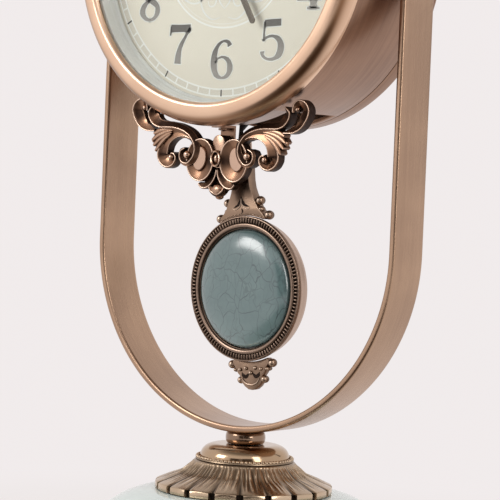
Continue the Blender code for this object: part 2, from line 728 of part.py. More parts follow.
def u_frame():
    """A flat bar with rounded edges, bent into a U. Its ends are rounded and drilled, its middle from below."""
    bend = FRAME_RADIUS - BAR_THICKNESS / 2
    straight = DRUM_ABOVE_ARC + ARM_END

    def build(shape):
        section = [shape.verts.new((bend + out, depth, straight)) for out, depth in bar_section()]
        first = shape.faces.new(section)
        arm = bmesh.ops.extrude_face_region(shape, geom=[first])["geom"]
        lower = [item for item in arm if isinstance(item, bmesh.types.BMVert)]
        bmesh.ops.translate(shape, vec=(0, 0, -straight), verts=lower)
        end = [item for item in arm if isinstance(item, bmesh.types.BMFace)]
        bent = bmesh.ops.spin(
            shape, geom=end, axis=(0, 1, 0), cent=(0, 0, 0), steps=BEND_STEPS, angle=math.pi,
        )["geom_last"]
        last = [item for item in bent if isinstance(item, bmesh.types.BMFace)]
        other = bmesh.ops.extrude_face_region(shape, geom=last)["geom"]
        upper = [item for item in other if isinstance(item, bmesh.types.BMVert)]
        bmesh.ops.translate(shape, vec=(0, 0, straight), verts=upper)
        loose = [face for face in (*end, *last) if face.is_valid]
        bmesh.ops.delete(shape, geom=loose, context="FACES")

    bar = add("u_frame", mesh_from("u_frame", build), COPPER)
    bar.location.z = ARC_Z
    hole = STUD_RADIUS + HOLE_CLEARANCE
    across = cylinder(
        "stud_holes", hole, (-FRAME_RADIUS - MM, 0, DRUM_Z), (FRAME_RADIUS + MM, 0, DRUM_Z), helper=True,
    )
    under = ARC_Z - FRAME_RADIUS
    blind = cylinder(
        "tie_hole", TIE_RADIUS + HOLE_CLEARANCE, (0, 0, under - MM), (0, 0, under + BAR_THICKNESS - TIE_SKIN),
        helper=True,
    )
    tip = BAR_DEPTH / 2
    round_end = [(tip, 0), (2 * tip, 0), (2 * tip, 2 * tip), (-2 * tip, 2 * tip), (-2 * tip, 0), (-tip, 0)]
    round_end += arc((0, 0), tip, 180, 0, ARM_END_STEPS + 1)[1:-1]
    corners = plate("arm_end_cutter", round_end, -FRAME_RADIUS - MM, 2 * FRAME_RADIUS + 2 * MM, helper=True)
    corners.rotation_euler.z = math.radians(90)
    corners.location.z = DRUM_Z + ARM_END - tip
    cut(bar, corners, across, blind)


def side_fixings():
    """On each side a knob on a stud, a spacer between arm and drum, and a nut inside the drum."""
    outside = FRAME_RADIUS + SEAT
    inside = DRUM_RADIUS - DRUM_WALL
    arm = FRAME_RADIUS - BAR_THICKNESS - SEAT
    wall = DRUM_RADIUS + SEAT
    nut = inside - SEAT - SIDE_NUT_FLAT ** 2 / inside
    end = outside + KNOB_LENGTH
    foot = KNOB_RADIUS * KNOB_FOOT
    foot_top = outside + KNOB_FOOT_HEIGHT
    knob = [
        (0, end), *((KNOB_RADIUS * share, end - down) for share, down in KNOB_SIDE),
        (KNOB_RADIUS * KNOB_NECK, foot_top + KNOB_FOOT_TAPER), (foot, foot_top), (foot, outside),
        (STUD_RADIUS, outside), (STUD_RADIUS, inside - STUD_REACH), (0, inside - STUD_REACH),
    ]
    bore = STUD_RADIUS + HOLE_CLEARANCE
    spacer = [(bore, arm), (SPACER_RADIUS, arm), (SPACER_RADIUS, wall), (bore, wall)]
    for side, name in ((1, "right"), (-1, "left")):
        for piece in (
            turned(f"side_knob_{name}", knob, BRONZE, 0, SMALL_STEPS, closed=False),
            turned(f"side_spacer_{name}", spacer, BRONZE, 0, SMALL_STEPS),
        ):
            piece.rotation_euler = (0, math.radians(90 * side), 0)
            piece.location = (0, 0, DRUM_Z)
        low, high = (side * (nut - SIDE_NUT_HEIGHT), 0, DRUM_Z), (side * nut, 0, DRUM_Z)
        hex_nut(f"side_nut_{name}", SIDE_NUT_FLAT, low, high, bore, STEEL)


# Drum

def drum_shell():
    """A spun tube with a ledge for the dial, a rear flange for the cover, and a slot for the pendulum."""
    inner, wall = DRUM_RADIUS - DRUM_WALL, DRUM_WALL
    ledge, ledge_inner = DIAL_BACK + SEAT, DRUM_RADIUS - LEDGE_WIDTH
    rear_inner = DRUM_RADIUS - REAR_FLANGE_WIDTH
    profile = [
        (DRUM_RADIUS, DRUM_FRONT), (DRUM_RADIUS, DRUM_BACK),
        (rear_inner, DRUM_BACK), (rear_inner, DRUM_BACK - wall), (inner, DRUM_BACK - wall),
        (inner, ledge + wall), (ledge_inner, ledge + wall), (ledge_inner, ledge), (inner, ledge),
        (inner, DRUM_FRONT),
    ]
    shell = front_turned("drum_shell", profile, COPPER, DRUM_Z, steps=LARGE_STEPS)
    slot = box(
        "pendulum_slot", (-SLOT_HALF_WIDTH, SLOT_FRONT, DRUM_Z - DRUM_RADIUS - MM),
        (SLOT_HALF_WIDTH, SLOT_BACK, DRUM_Z - DRUM_RADIUS + DRUM_CUT_DEPTH), helper=True,
    )
    studs = cylinder(
        "drum_stud_holes", STUD_RADIUS + HOLE_CLEARANCE, (-DRUM_RADIUS - MM, 0, DRUM_Z),
        (DRUM_RADIUS + MM, 0, DRUM_Z), helper=True,
    )
    foot = bracket_screw_y()
    screw = cylinder(
        "bracket_screw_hole", BRACKET_SCREW_RADIUS + HOLE_CLEARANCE, (0, foot, DRUM_Z - DRUM_RADIUS - MM),
        (0, foot, DRUM_Z - DRUM_RADIUS + DRUM_WALL + BRACKET_SCREW_REACH + MM), helper=True,
    )
    cut(shell, slot, studs, screw, *cover_screw_cutters("flange", DRUM_BACK - DRUM_WALL, DRUM_BACK))


def bezel():
    """A wide convex ring with a groove and a thin lip that slips over the drum's front edge."""
    lip, seat = BEZEL_LIP_RADIUS, BEZEL_SHOULDER
    glass_front = glass_back() - GLASS_THICKNESS - SEAT
    glass_room = GLASS_RADIUS + HOLE_CLEARANCE
    end = DRUM_FRONT + BEZEL_LIP_LENGTH
    profile = [
        *((BEZEL_OPENING + out, BEZEL_FRONT + share * BEZEL_RISE) for out, share in BEZEL_INNER_ROUND),
        *((BEZEL_OUTER_RADIUS - back, BEZEL_FRONT + share * BEZEL_RISE) for back, share in BEZEL_OUTER_ROUND),
        (lip, seat - BEZEL_LIP_EDGE), (lip, end), (BEZEL_LIP_BORE, end), (BEZEL_LIP_BORE, seat),
        (glass_room, seat), (glass_room, glass_front), (BEZEL_OPENING, glass_front),
    ]
    front_turned("bezel", profile, BRIGHT_COPPER, DRUM_Z, steps=LARGE_STEPS)


def glass_back():
    """The rear face of the glass, which the reflector's front edge carries."""
    return BEZEL_SHOULDER - GLASS_SETBACK


def glass_and_reflector():
    back = glass_back()
    front = back - GLASS_THICKNESS
    glass = [(0, front), (GLASS_RADIUS, front), (GLASS_RADIUS, back), (0, back)]
    front_turned("dial_glass", glass, GLASS, DRUM_Z, steps=LARGE_STEPS, closed=False)
    foot, top = DIAL_FACE - SEAT, back + SEAT
    reflector = [
        (BEZEL_OPENING - REFLECTOR_LIP, top), (GLASS_RADIUS, top), (GLASS_RADIUS, BEZEL_SHOULDER),
        (REFLECTOR_INNER + REFLECTOR_FOOT, foot), (REFLECTOR_INNER, foot),
    ]
    front_turned("reflector_ring", reflector, REFLECTOR, DRUM_Z, steps=LARGE_STEPS)


def dial():
    edge = DRUM_RADIUS - DRUM_WALL - SEAT
    hole = BUSH_RADIUS + HOLE_CLEARANCE
    profile = [(hole, DIAL_FACE), (edge, DIAL_FACE), (edge, DIAL_BACK), (hole, DIAL_BACK)]
    front_turned("dial", profile, DIAL, DRUM_Z, steps=LARGE_STEPS)


def cover_screw_places():
    """Centres (x, z) of the cover's screws, on the middle of the drum's rear flange."""
    ring = DRUM_RADIUS - DRUM_WALL - (REAR_FLANGE_WIDTH - DRUM_WALL) / 2
    angles = [math.tau * (i + 0.5) / COVER_SCREWS for i in range(COVER_SCREWS)]
    return [(ring * math.cos(a), DRUM_Z + ring * math.sin(a)) for a in angles]


def cover_screw_cutters(name, front, back):
    radius = COVER_SCREW_RADIUS + HOLE_CLEARANCE
    return [
        cylinder(f"{name}_hole_{i}", radius, (x, front - MM, z), (x, back + MM, z), helper=True, steps=8)
        for i, (x, z) in enumerate(cover_screw_places())
    ]


def back_cover():
    """A pressed pan with a round opening behind the movement, and its screws."""
    outer, front, back = DRUM_RADIUS, COVER_FRONT, COVER_BACK
    inner = outer - COVER_WALL
    profile = [
        (outer, front), (outer, back - COVER_ROUND), (outer - COVER_ROUND, back), (COVER_OPENING, back),
        (COVER_OPENING, back - COVER_WALL), (inner - COVER_ROUND, back - COVER_WALL),
        (inner, back - COVER_WALL - COVER_ROUND), (inner, front),
    ]
    cover = front_turned("back_cover", profile, COPPER, DRUM_Z, steps=LARGE_STEPS)
    cut(cover, *cover_screw_cutters("cover", back - COVER_WALL, back))
    head = back + SEAT
    tip = DRUM_BACK - DRUM_WALL - COVER_SCREW_REACH
    for i, (x, z) in enumerate(cover_screw_places()):
        screw = [
            (0, head + SCREW_HEAD_HEIGHT), (COVER_SCREW_HEAD * SCREW_HEAD_TOP, head + SCREW_HEAD_HEIGHT),
            (COVER_SCREW_HEAD, head + SCREW_HEAD_SIDE * SCREW_HEAD_HEIGHT), (COVER_SCREW_HEAD, head),
            (COVER_SCREW_RADIUS, head), (COVER_SCREW_RADIUS, tip), (0, tip),
        ]
        made = turned(f"cover_screw_{i + 1}", screw, STEEL, 0, SCREW_STEPS, closed=False)
        made.rotation_euler = (math.radians(-90), 0, 0)
        made.location = (x, 0, z)


# Movement and hands

def movement():
    """The movement's case with its drive box, threaded bush, battery bay and pendulum pin."""
    half, rise = CASE_WIDTH / 2, CASE_HEIGHT / 2
    case = box("movement_case", (-half, CASE_FRONT, DRUM_Z - rise), (half, CASE_BACK, DRUM_Z + rise), PLASTIC)
    drive = box(
        "drive_box", (-DRIVE_WIDTH / 2, CASE_FRONT + SEAT, PIVOT_Z - DRIVE_BELOW_PIVOT),
        (DRIVE_WIDTH / 2, DRIVE_BACK, DRUM_Z), helper=True,
    )
    bush_front, bush_end = DIAL_FACE - BUSH_PROUD, CASE_FRONT + MM
    bush = cylinder(
        "bush", BUSH_RADIUS, (0, bush_front, DRUM_Z), (0, bush_end, DRUM_Z), helper=True, steps=MEDIUM_STEPS,
    )
    pin_end = HANGER_BACK + SEAT
    head_end, stem_end = pin_end + PIN_HEAD_LENGTH, pin_end + PIN_HEAD_LENGTH / 2
    pin = cylinder("pivot_pin", PIN_RADIUS, (0, DRIVE_BACK - MM, PIVOT_Z), (0, pin_end, PIVOT_Z), helper=True)
    head = cylinder(
        "pivot_pin_head", PIN_HEAD_RADIUS, (0, pin_end, PIVOT_Z), (0, head_end, PIVOT_Z), helper=True,
    )
    stem = cylinder("pivot_stem", PIN_RADIUS, (0, pin_end - MM, PIVOT_Z), (0, stem_end, PIVOT_Z), helper=True)
    fuse(case, drive, bush, pin, stem, head)
    bore = cylinder(
        "bush_bore", BUSH_BORE, (0, bush_front - MM, DRUM_Z), (0, CASE_FRONT + BORE_DEPTH, DRUM_Z), helper=True,
        steps=16,
    )
    battery_z = DRUM_Z + BATTERY_ABOVE_AXIS
    room = BATTERY_RADIUS + SEAT
    bay = box(
        "battery_bay", (-BATTERY_LENGTH / 2 - SEAT, battery_y() - room, battery_z - room),
        (BATTERY_LENGTH / 2 + SEAT, CASE_BACK + MM, battery_z + room), helper=True,
    )
    knob_z = DRUM_Z - SET_KNOB_BELOW_AXIS
    shaft = cylinder(
        "set_shaft_bore", SET_SHAFT_RADIUS + HOLE_CLEARANCE, (0, CASE_BACK - SET_SHAFT_DEPTH - SEAT, knob_z),
        (0, CASE_BACK + MM, knob_z), helper=True,
    )
    cut(case, bore, bay, shaft)
    nut_back = DIAL_FACE - SEAT
    hex_nut(
        "bush_nut", BUSH_NUT_FLAT, (0, nut_back - BUSH_NUT_HEIGHT, DRUM_Z), (0, nut_back, DRUM_Z),
        BUSH_RADIUS + HOLE_CLEARANCE, BRONZE,
    )


def battery_y():
    return CASE_BACK - BATTERY_RADIUS - SEAT


def battery():
    half = BATTERY_LENGTH / 2
    shoulder = half - BATTERY_CAP_HEIGHT
    profile = [
        (0, half), (BATTERY_CAP, half), (BATTERY_CAP, shoulder), (BATTERY_RADIUS - BATTERY_EDGE, shoulder),
        (BATTERY_RADIUS, shoulder - BATTERY_EDGE), (BATTERY_RADIUS, -half + BATTERY_EDGE),
        (BATTERY_RADIUS - BATTERY_EDGE, -half), (0, -half),
    ]
    cell = turned("battery", profile, CELL, 0, SMALL_STEPS, closed=False)
    cell.rotation_euler = (0, math.radians(90), 0)
    cell.location = (0, battery_y(), DRUM_Z + BATTERY_ABOVE_AXIS)


def set_knob():
    """The time setting knob at the back of the movement, with its shaft."""
    base = CASE_BACK + SEAT
    profile = [
        (0, base + SET_KNOB_HEIGHT), (SET_KNOB_RADIUS - SET_KNOB_EDGE, base + SET_KNOB_HEIGHT),
        (SET_KNOB_RADIUS, base + SET_KNOB_HEIGHT - SET_KNOB_EDGE), (SET_KNOB_RADIUS, base),
        (SET_SHAFT_RADIUS, base), (SET_SHAFT_RADIUS, CASE_BACK - SET_SHAFT_DEPTH),
        (0, CASE_BACK - SET_SHAFT_DEPTH),
    ]
    knob = turned("set_knob", profile, PLASTIC, 0, SMALL_STEPS, closed=False)
    knob.rotation_euler = (math.radians(-90), 0, 0)
    knob.location = (0, 0, DRUM_Z - SET_KNOB_BELOW_AXIS)


def hand_outline(reach, width, tail):
    """A hand that points up: a round tip, a slight taper, a boss round the axis and a short tail."""
    tip, root = width / 2, width * HAND_ROOT_SHARE
    tip_arc = arc((0, reach - tip), tip, 90, 0, 5)
    boss = arc((0, 0), HAND_BOSS, HAND_BOSS_ARC, -HAND_BOSS_ARC, 8)
    end = arc((0, -tail + root), root, 0, -90, 4)
    return mirrored([*tip_arc, *boss, *end])


def hands():
    hour_outline = hand_outline(HOUR_REACH, HOUR_BLADE_WIDTH, HAND_TAIL)
    hour = plate("hour_hand", hour_outline, HOUR_BLADE_FACE, BLADE_THICKNESS, HAND)
    inside = CASE_FRONT + BORE_DEPTH
    pipe_front, pipe_end = HOUR_BLADE_FACE - HOUR_PIPE_PROUD, inside - 2 * SEAT
    pipe = cylinder("hour_pipe", HOUR_PIPE_RADIUS, (0, pipe_front, 0), (0, pipe_end, 0), helper=True)
    bore = cylinder("hour_bore", HOUR_PIPE_BORE, (0, pipe_front - MM, 0), (0, inside + MM, 0), helper=True)
    cut(fuse(hour, pipe), bore)
    minute_outline = hand_outline(MINUTE_REACH, MINUTE_BLADE_WIDTH, HAND_TAIL)
    minute = plate("minute_hand", minute_outline, MINUTE_BLADE_FACE, BLADE_THICKNESS, HAND)
    arbor_front = MINUTE_BLADE_FACE - MINUTE_CAP_RISE / 2
    arbor = cylinder(
        "minute_arbor", MINUTE_ARBOR_RADIUS, (0, arbor_front, 0), (0, inside - SEAT, 0), helper=True,
    )
    cap = cylinder(
        "minute_cap", MINUTE_CAP_RADIUS, (0, MINUTE_BLADE_FACE - MINUTE_CAP_RISE, 0),
        (0, MINUTE_BLADE_FACE + BLADE_THICKNESS / 2, 0), helper=True,
    )
    fuse(minute, arbor, cap)
    for hand, angle, helpers in ((hour, HOUR_ANGLE, (pipe, bore)), (minute, MINUTE_ANGLE, (arbor, cap))):
        for piece in (hand, *helpers):
            piece.location.z = DRUM_Z
            piece.rotation_euler.y = angle


# Pendulum

def bob_turned(name, profile, look=None, helper=False):
    """An oval piece of the bob, turned round its middle and squeezed in width."""
    closed = profile[0][0] > 0
    piece = front_turned(name, profile, look, -BOB_DROP, steps=OVAL_STEPS, closed=closed, helper=helper)
    piece.scale.x = BOB_SQUEEZE
    return piece


def bob():
    """The bob: a pressed cup, a stepped front ring and a domed ceramic cabochon."""
    edge, front = BOB_HALF_HEIGHT, BOB_FRONT
    ring_back = front + BOB_RING_HEIGHT
    spigot = ring_back + RING_SPIGOT
    opening = edge - BOB_RING_WIDTH
    ring = [
        (opening, spigot), (opening, ring_back), *((opening + out, front + back) for out, back in RING_ROLL),
        *((edge - inside, front + back) for inside, back in RING_RIM), (edge, ring_back),
        (opening + RING_STEP, ring_back), (opening + RING_STEP, spigot),
    ]
    lip, rim, back = ring_back + SEAT, edge - CUP_RIM, ring_back + BOB_DEPTH
    floor = back - BOB_WALL
    side = [(rim - inside, lip + share * (back - lip)) for inside, share in CUP_SIDE]
    (near, near_back), (far, _) = side[1:]
    hollow = rim - BOB_WALL
    cup = [
        (0, floor), (far - BOB_WALL / 4, floor), (near - BOB_WALL, near_back - BOB_WALL / 2),
        (hollow, lip + CUP_INSIDE * (back - lip)), (hollow, lip), (rim, lip), *side, (0, back),
    ]
    shoulder = spigot + SEAT
    inside, girth = opening - SEAT, opening + STONE_LAP
    dome = [(0, shoulder - CABOCHON_RISE)]
    for i in range(1, STONE_STEPS + 1):
        angle = math.pi / 2 * i / STONE_STEPS
        dome.append((inside * math.sin(angle), shoulder - CABOCHON_RISE * math.cos(angle) ** STONE_FULLNESS))
    stone = [
        *dome, (girth, shoulder), (girth, shoulder + STONE_GIRTH), (rim - STONE_BACK, floor - SEAT),
        (0, floor - SEAT),
    ]
    return [
        bob_turned("bob_ring", ring, BRIGHT_COPPER),
        bob_turned("bob_cup", cup, COPPER),
        bob_turned("bob_cabochon", stone, CABOCHON),
    ]


def crown():
    """A tapering plate over the bob with a bead at each shoulder and foot."""
    top, foot = -CROWN_TOP_DROP, -BOB_DROP + BOB_HALF_HEIGHT - CROWN_OVERLAP
    shoulder_x, shoulder_drop = CROWN_SHOULDER
    shoulder = top - shoulder_drop
    edge_x, edge_rise = CROWN_SHOULDER_EDGE
    half = [
        (0, top), (CROWN_TOP_HALF, top), (CROWN_NECK[0], top - CROWN_NECK[1]), (edge_x, shoulder + edge_rise),
        *arc((shoulder_x + CROWN_BEAD_RADIUS, shoulder), CROWN_BEAD_RADIUS, 120, -120, 6),
        *((x, shoulder - drop) for x, drop in CROWN_WAIST),
        *arc((CROWN_FOOT_HALF, shoulder - CROWN_FOOT_DROP), CROWN_BEAD_RADIUS, 110, -90, 6),
        (CROWN_FOOT_HALF - CROWN_FOOT_STEP, foot), (0, foot),
    ]
    front = HANGER_BACK - CROWN_THICKNESS
    piece = plate("bob_crown", mirrored(half), front, CROWN_THICKNESS, ANTIQUE)
    screw = ROD_SCREW_RADIUS + HOLE_CLEARANCE
    height = rod_screw_height()
    deep = HANGER_BACK - CROWN_SCREW_DEPTH
    hole = cylinder("crown_screw_hole", screw, (0, deep, height), (0, ROD_BACK, height), helper=True)
    room = oval_cutter("crown_seat")
    cut(piece, room, hole)
    return [piece, room, hole]


def oval_cutter(name):
    """The space of the bob and a seat's clearance, cut from what is fitted to it."""
    reach, front = BOB_HALF_HEIGHT + SEAT, 2 * BOB_FRONT
    return bob_turned(name, [(0, front), (reach, front), (reach, 0), (0, 0)], helper=True)


def finial():
    """A small cast drop under the bob, with beads down its sides."""
    bob_foot = -BOB_DROP - BOB_HALF_HEIGHT
    low, top = bob_foot - FINIAL_LENGTH, bob_foot + FINIAL_OVERLAP
    bead = FINIAL_BEAD_RADIUS
    half = [
        (0, top), (FINIAL_HALF - bead, top),
        *arc((FINIAL_HALF, bob_foot - FINIAL_TOP_BEAD_RISE), bead, 60, -110, 5),
        (FINIAL_WAIST[0], low + FINIAL_WAIST[1]),
        *arc((FINIAL_LOW_BEAD[0], low + FINIAL_LOW_BEAD[1]), bead, 60, -110, 5),
        (FINIAL_TIP[0], low + FINIAL_TIP[1]), (0, low),
    ]
    front = BOB_FRONT + BOB_RING_HEIGHT + SEAT
    piece = plate("bob_finial", mirrored(half), front, FINIAL_THICKNESS, ANTIQUE)
    room = oval_cutter("finial_seat")
    cut(piece, room)
    return [piece, room]


def rod_screw_height():
    return -CROWN_TOP_DROP - ROD_SCREW_DROP


def pendulum_rod():
    """The flat rod from the hook pin down to the back of the crown, and the screw that holds it."""
    hook = -HANGER_LENGTH
    low = -CROWN_TOP_DROP - ROD_LAP
    half_width = ROD_WIDTH / 2
    half = [*arc((0, hook), half_width, 90, 0, 5), *arc((0, low + half_width), half_width, 0, -90, 5)]
    rod = plate("pendulum_rod", mirrored(half), ROD_FRONT, ROD_THICKNESS, BRONZE)
    pin = cylinder(
        "hook_pin", HOOK_PIN_RADIUS, (0, HANGER_FRONT - HOOK_PIN_PROUD, hook),
        (0, ROD_FRONT + ROD_THICKNESS / 2, hook), helper=True,
    )
    height = rod_screw_height()
    screw_room, hole_front, hole_back = ROD_SCREW_RADIUS + HOLE_CLEARANCE, ROD_FRONT - MM, ROD_BACK + MM
    hole = cylinder("rod_screw_hole", screw_room, (0, hole_front, height), (0, hole_back, height), helper=True)
    cut(fuse(rod, pin), hole)
    head, tip = ROD_BACK + SEAT, HANGER_BACK - ROD_SCREW_REACH
    profile = [
        (0, head + SCREW_HEAD_HEIGHT), (ROD_SCREW_HEAD, head + SCREW_HEAD_HEIGHT * SCREW_HEAD_SIDE),
        (ROD_SCREW_HEAD, head), (ROD_SCREW_RADIUS, head), (ROD_SCREW_RADIUS, tip), (0, tip),
    ]
    screw = turned("rod_screw", profile, STEEL, 0, SCREW_STEPS, closed=False)
    screw.rotation_euler = (math.radians(-90), 0, 0)
    screw.location = (0, 0, height)
    return [rod, pin, hole, screw]


def hanger():
    """The black drive lever: an eye on the movement's pin, a long bar, and an open hook at its foot."""
    half_width = HANGER_WIDTH / 2
    low = -HANGER_LENGTH
    hook = HOOK_PIN_RADIUS + HOLE_CLEARANCE
    outer = hook + HOOK_WALL
    outline = [
        *arc((0, 0), HANGER_EYE_RADIUS, -55, 235, 14), (-half_width, low + HOOK_NECK), (-outer, low),
        *arc((0, low), outer, 180, 360, 9)[1:], (outer, low + HOOK_LIP), (hook, low + HOOK_LIP),
        *arc((0, low), hook, 0, -180, 7), (-hook, low + HOOK_THROAT), (half_width, low + HOOK_NECK),
    ]
    lever = plate("pendulum_hanger", outline, HANGER_FRONT, HANGER_THICKNESS, PLASTIC)
    front, back = HANGER_FRONT - MM, HANGER_BACK + MM
    eye = cylinder("hanger_eye", PIN_RADIUS + HOLE_CLEARANCE, (0, front, 0), (0, back, 0), helper=True)
    cut(lever, eye)
    return [lever, eye]


def pendulum():
    """Hang every piece of the pendulum from an empty on the pivot pin, and swing it."""
    pivot = bpy.data.objects.new("pendulum_pivot", None)
    PARTS.objects.link(pivot)
    for piece in (*hanger(), *pendulum_rod(), *crown(), *bob(), *finial()):
        piece.parent = pivot
    pivot.location = (0, 0, PIVOT_Z)
    pivot.rotation_euler.y = -PENDULUM_SWING


# Scroll ornament

def ornament_bands():
    """The outlines of one side's scrolls, as (name, outline, recess) in the frame of the arc centre."""
    s_scroll = band(
        [(50, 79), (52.6, 74.5), (49.5, 69.2), (42, 66.9), (27, 65.6), (19.5, 61.4), (16.2, 55), (17.4, 48.4),
         (22.6, 44.2), (27.5, 46.8), (28.2, 51.6), (25.2, 55.2)],
        (2.2, 3.6, 5.2, 6.2, 6.4, 5.0, 4.0, 2.2), 1,
    )
    c_scroll = band(
        [(54.6, 80.6), (59.7, 83), (65, 79.2), (65.4, 72.5), (61.8, 66.4), (54, 63.2), (45, 63.6)],
        (1.6, 2.8, 3.8, 4.6, 4.2, 3.0), -1,
    )
    leaf = band(
        [(30, 66.2), (42, 66.6), (51, 62.5), (52, 55.5), (48, 48), (43, 43.9), (37.4, 42.2), (31.2, 44.2),
         (29, 49), (33, 52.6)],
        (4.6, 6.0, 8.0, 8.4, 6.4, 4.6, 3.4, 2.0), -1, tips=LEAF_TIPS,
    )
    tip = band(
        [(1.2, 43), (3.6, 37), (8.4, 32.8), (14.6, 33.6), (15, 38)],
        (2.2, 3.8, 3.8, 2.2), 1,
    )
    return [
        ("s_scroll", s_scroll, 0.0),
        ("c_scroll", c_scroll, 0.3 * MM),
        ("leaf", leaf, LEAF_RECESS),
        ("oval_leaf", oval(OVAL_CENTRE, OVAL_HALF, OVAL_LEAN), OVAL_RECESS),
        ("lower_leaf", tip, TIP_RECESS),
    ]


def scroll_ornament():
    """A cast ornament of mirrored scrolls, leaves and balls, made in halves round a middle medallion."""
    lug = [
        (LUG_HALF_WIDTH, LUG_FOOT), *arc((0, LUG_TOP - LUG_HALF_WIDTH), LUG_HALF_WIDTH, 0, 180, 9),
        (-LUG_HALF_WIDTH, LUG_FOOT),
    ]
    lug_front, lug_depth = ORNAMENT_FRONT + LUG_RECESS, ORNAMENT_DEPTH - LUG_RECESS
    body = plate("scroll_ornament", raise_to(lug, ARC_Z), lug_front, lug_depth, ANTIQUE)
    middle = ORNAMENT_FRONT + BALL_MIDDLE
    angles = [math.radians(angle) for angle in BALL_ANGLES]
    dome = [(BALL_RADIUS * math.sin(angle), middle - BALL_RADIUS * math.cos(angle)) for angle in angles]
    floor, back = dome[-1][1], ORNAMENT_BACK - EYE_BACK_RECESS
    eye = [*dome, (EYE_RADIUS, floor), (EYE_RADIUS, back), (0, back)]
    pieces = []
    for side, label in ((1, "right"), (-1, "left")):
        for name, outline, recess in ornament_bands():
            points = [(side * x, z + ARC_Z) for x, z in outline]
            depth = ORNAMENT_DEPTH - RECESS_SHARE * recess
            pieces.append(plate(f"{name}_{label}", points, ORNAMENT_FRONT + recess, depth, helper=True))
        for number, (x, z) in enumerate(EYE_PLACES):
            height, out = z * ORNAMENT_UNIT + ARC_Z, side * x * ORNAMENT_UNIT
            name = f"eye_{label}_{number}"
            pieces.append(front_turned(name, eye, None, height, out, EYE_STEPS, closed=False, helper=True))
    medallion = plate(
        "medallion", raise_to(oval((0, MEDALLION_CENTRE), MEDALLION_HALF, count=12), ARC_Z),
        ORNAMENT_FRONT - MEDALLION_RISE, MEDALLION_DEPTH, helper=True,
    )
    tongue = [(x * ORNAMENT_UNIT, z * ORNAMENT_UNIT) for x, z in DROP_SIDE]
    drop_front, drop_depth = ORNAMENT_FRONT + TIP_RECESS / 2, ORNAMENT_DEPTH - 3 * TIP_RECESS
    drop = plate("drop", raise_to(mirrored(tongue), ARC_Z), drop_front, drop_depth, helper=True)
    height = ARC_Z + LUG_SCREW_HEIGHT
    screw, deep = BRACKET_SCREW_RADIUS + HOLE_CLEARANCE, ORNAMENT_BACK - LUG_SCREW_REACH - SEAT
    out = ORNAMENT_BACK + MM
    cut(body, cylinder("lug_screw_hole", screw, (0, deep, height), (0, out, height), helper=True))
    fuse(body, medallion, drop, *pieces, solver="MANIFOLD")


def bracket_screw_y():
    """The place along Y of the screw that holds the bracket under the drum."""
    return ORNAMENT_BACK + SEAT + BRACKET_THICKNESS - BRACKET_SCREW_PLACE


def ornament_bracket():
    """A bent strap from the underside of the drum down behind the ornament's lug, with its two screws."""
    front = ORNAMENT_BACK + SEAT
    back = front + BRACKET_THICKNESS
    half = BRACKET_WIDTH / 2
    top = DRUM_Z - DRUM_RADIUS - SEAT
    strap = box("ornament_bracket", (-half, front, top - BRACKET_DROP), (half, back, top), ANTIQUE)
    foot = box(
        "bracket_foot", (-half, back - BRACKET_FOOT, top - BRACKET_THICKNESS),
        (half, back - BRACKET_THICKNESS / 2, top), helper=True,
    )
    fuse(strap, foot)
    place = bracket_screw_y()
    radius = BRACKET_SCREW_RADIUS + HOLE_CLEARANCE
    height = ARC_Z + LUG_SCREW_HEIGHT
    cut(
        strap,
        cylinder("foot_hole", radius, (0, place, top - BRACKET_DROP), (0, place, top + MM), helper=True),
        cylinder("strap_hole", radius, (0, front - MM, height), (0, back + MM, height), helper=True),
    )
    head = SCREW_HEAD_HEIGHT
    under = top - BRACKET_THICKNESS - SEAT
    end = DRUM_Z - DRUM_RADIUS + DRUM_WALL + BRACKET_SCREW_REACH
    upright = [
        (0, end), (BRACKET_SCREW_RADIUS, end), (BRACKET_SCREW_RADIUS, under), (BRACKET_SCREW_HEAD, under),
        (BRACKET_SCREW_HEAD, under - SCREW_HEAD_TOP * head), (0, under - head),
    ]
    screw = turned("bracket_screw", upright, STEEL, 0, SCREW_STEPS, closed=False)
    screw.location.y = place
    tip = ORNAMENT_BACK - LUG_SCREW_REACH
    across = [
        (0, tip), (BRACKET_SCREW_RADIUS, tip), (BRACKET_SCREW_RADIUS, back + SEAT),
        (BRACKET_SCREW_HEAD, back + SEAT),
        (BRACKET_SCREW_HEAD, back + SEAT + SCREW_HEAD_TOP * head), (0, back + SEAT + head),
    ]
    front_turned("lug_screw", across, STEEL, height, steps=SCREW_STEPS, closed=False)


def main():
    foot_pads()
    plinth()
    ceramic_body()
    lotus_skirt()
    bead_ring()
    dome_and_collar()
    tie_screw()
    u_frame()
    side_fixings()
    drum_shell()
    bezel()
    glass_and_reflector()
    dial()
    back_cover()
    movement()
    battery()
    set_knob()
    hands()
    pendulum()
    scroll_ornament()
    ornament_bracket()
    bpy.context.view_layer.update()


main()
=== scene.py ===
"""Looks of a copper mantel clock with a swinging pendulum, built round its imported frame.

The origin is on the floor under the base, +Z is up and the dial looks along -Y. All lengths are in metres.
"""

from __future__ import annotations

import json
import logging
import math
from dataclasses import dataclass, field
from enum import Enum
from functools import lru_cache
from typing import Any, Callable, Sequence, Union

import bmesh
import bpy
from mathutils import Matrix, Vector

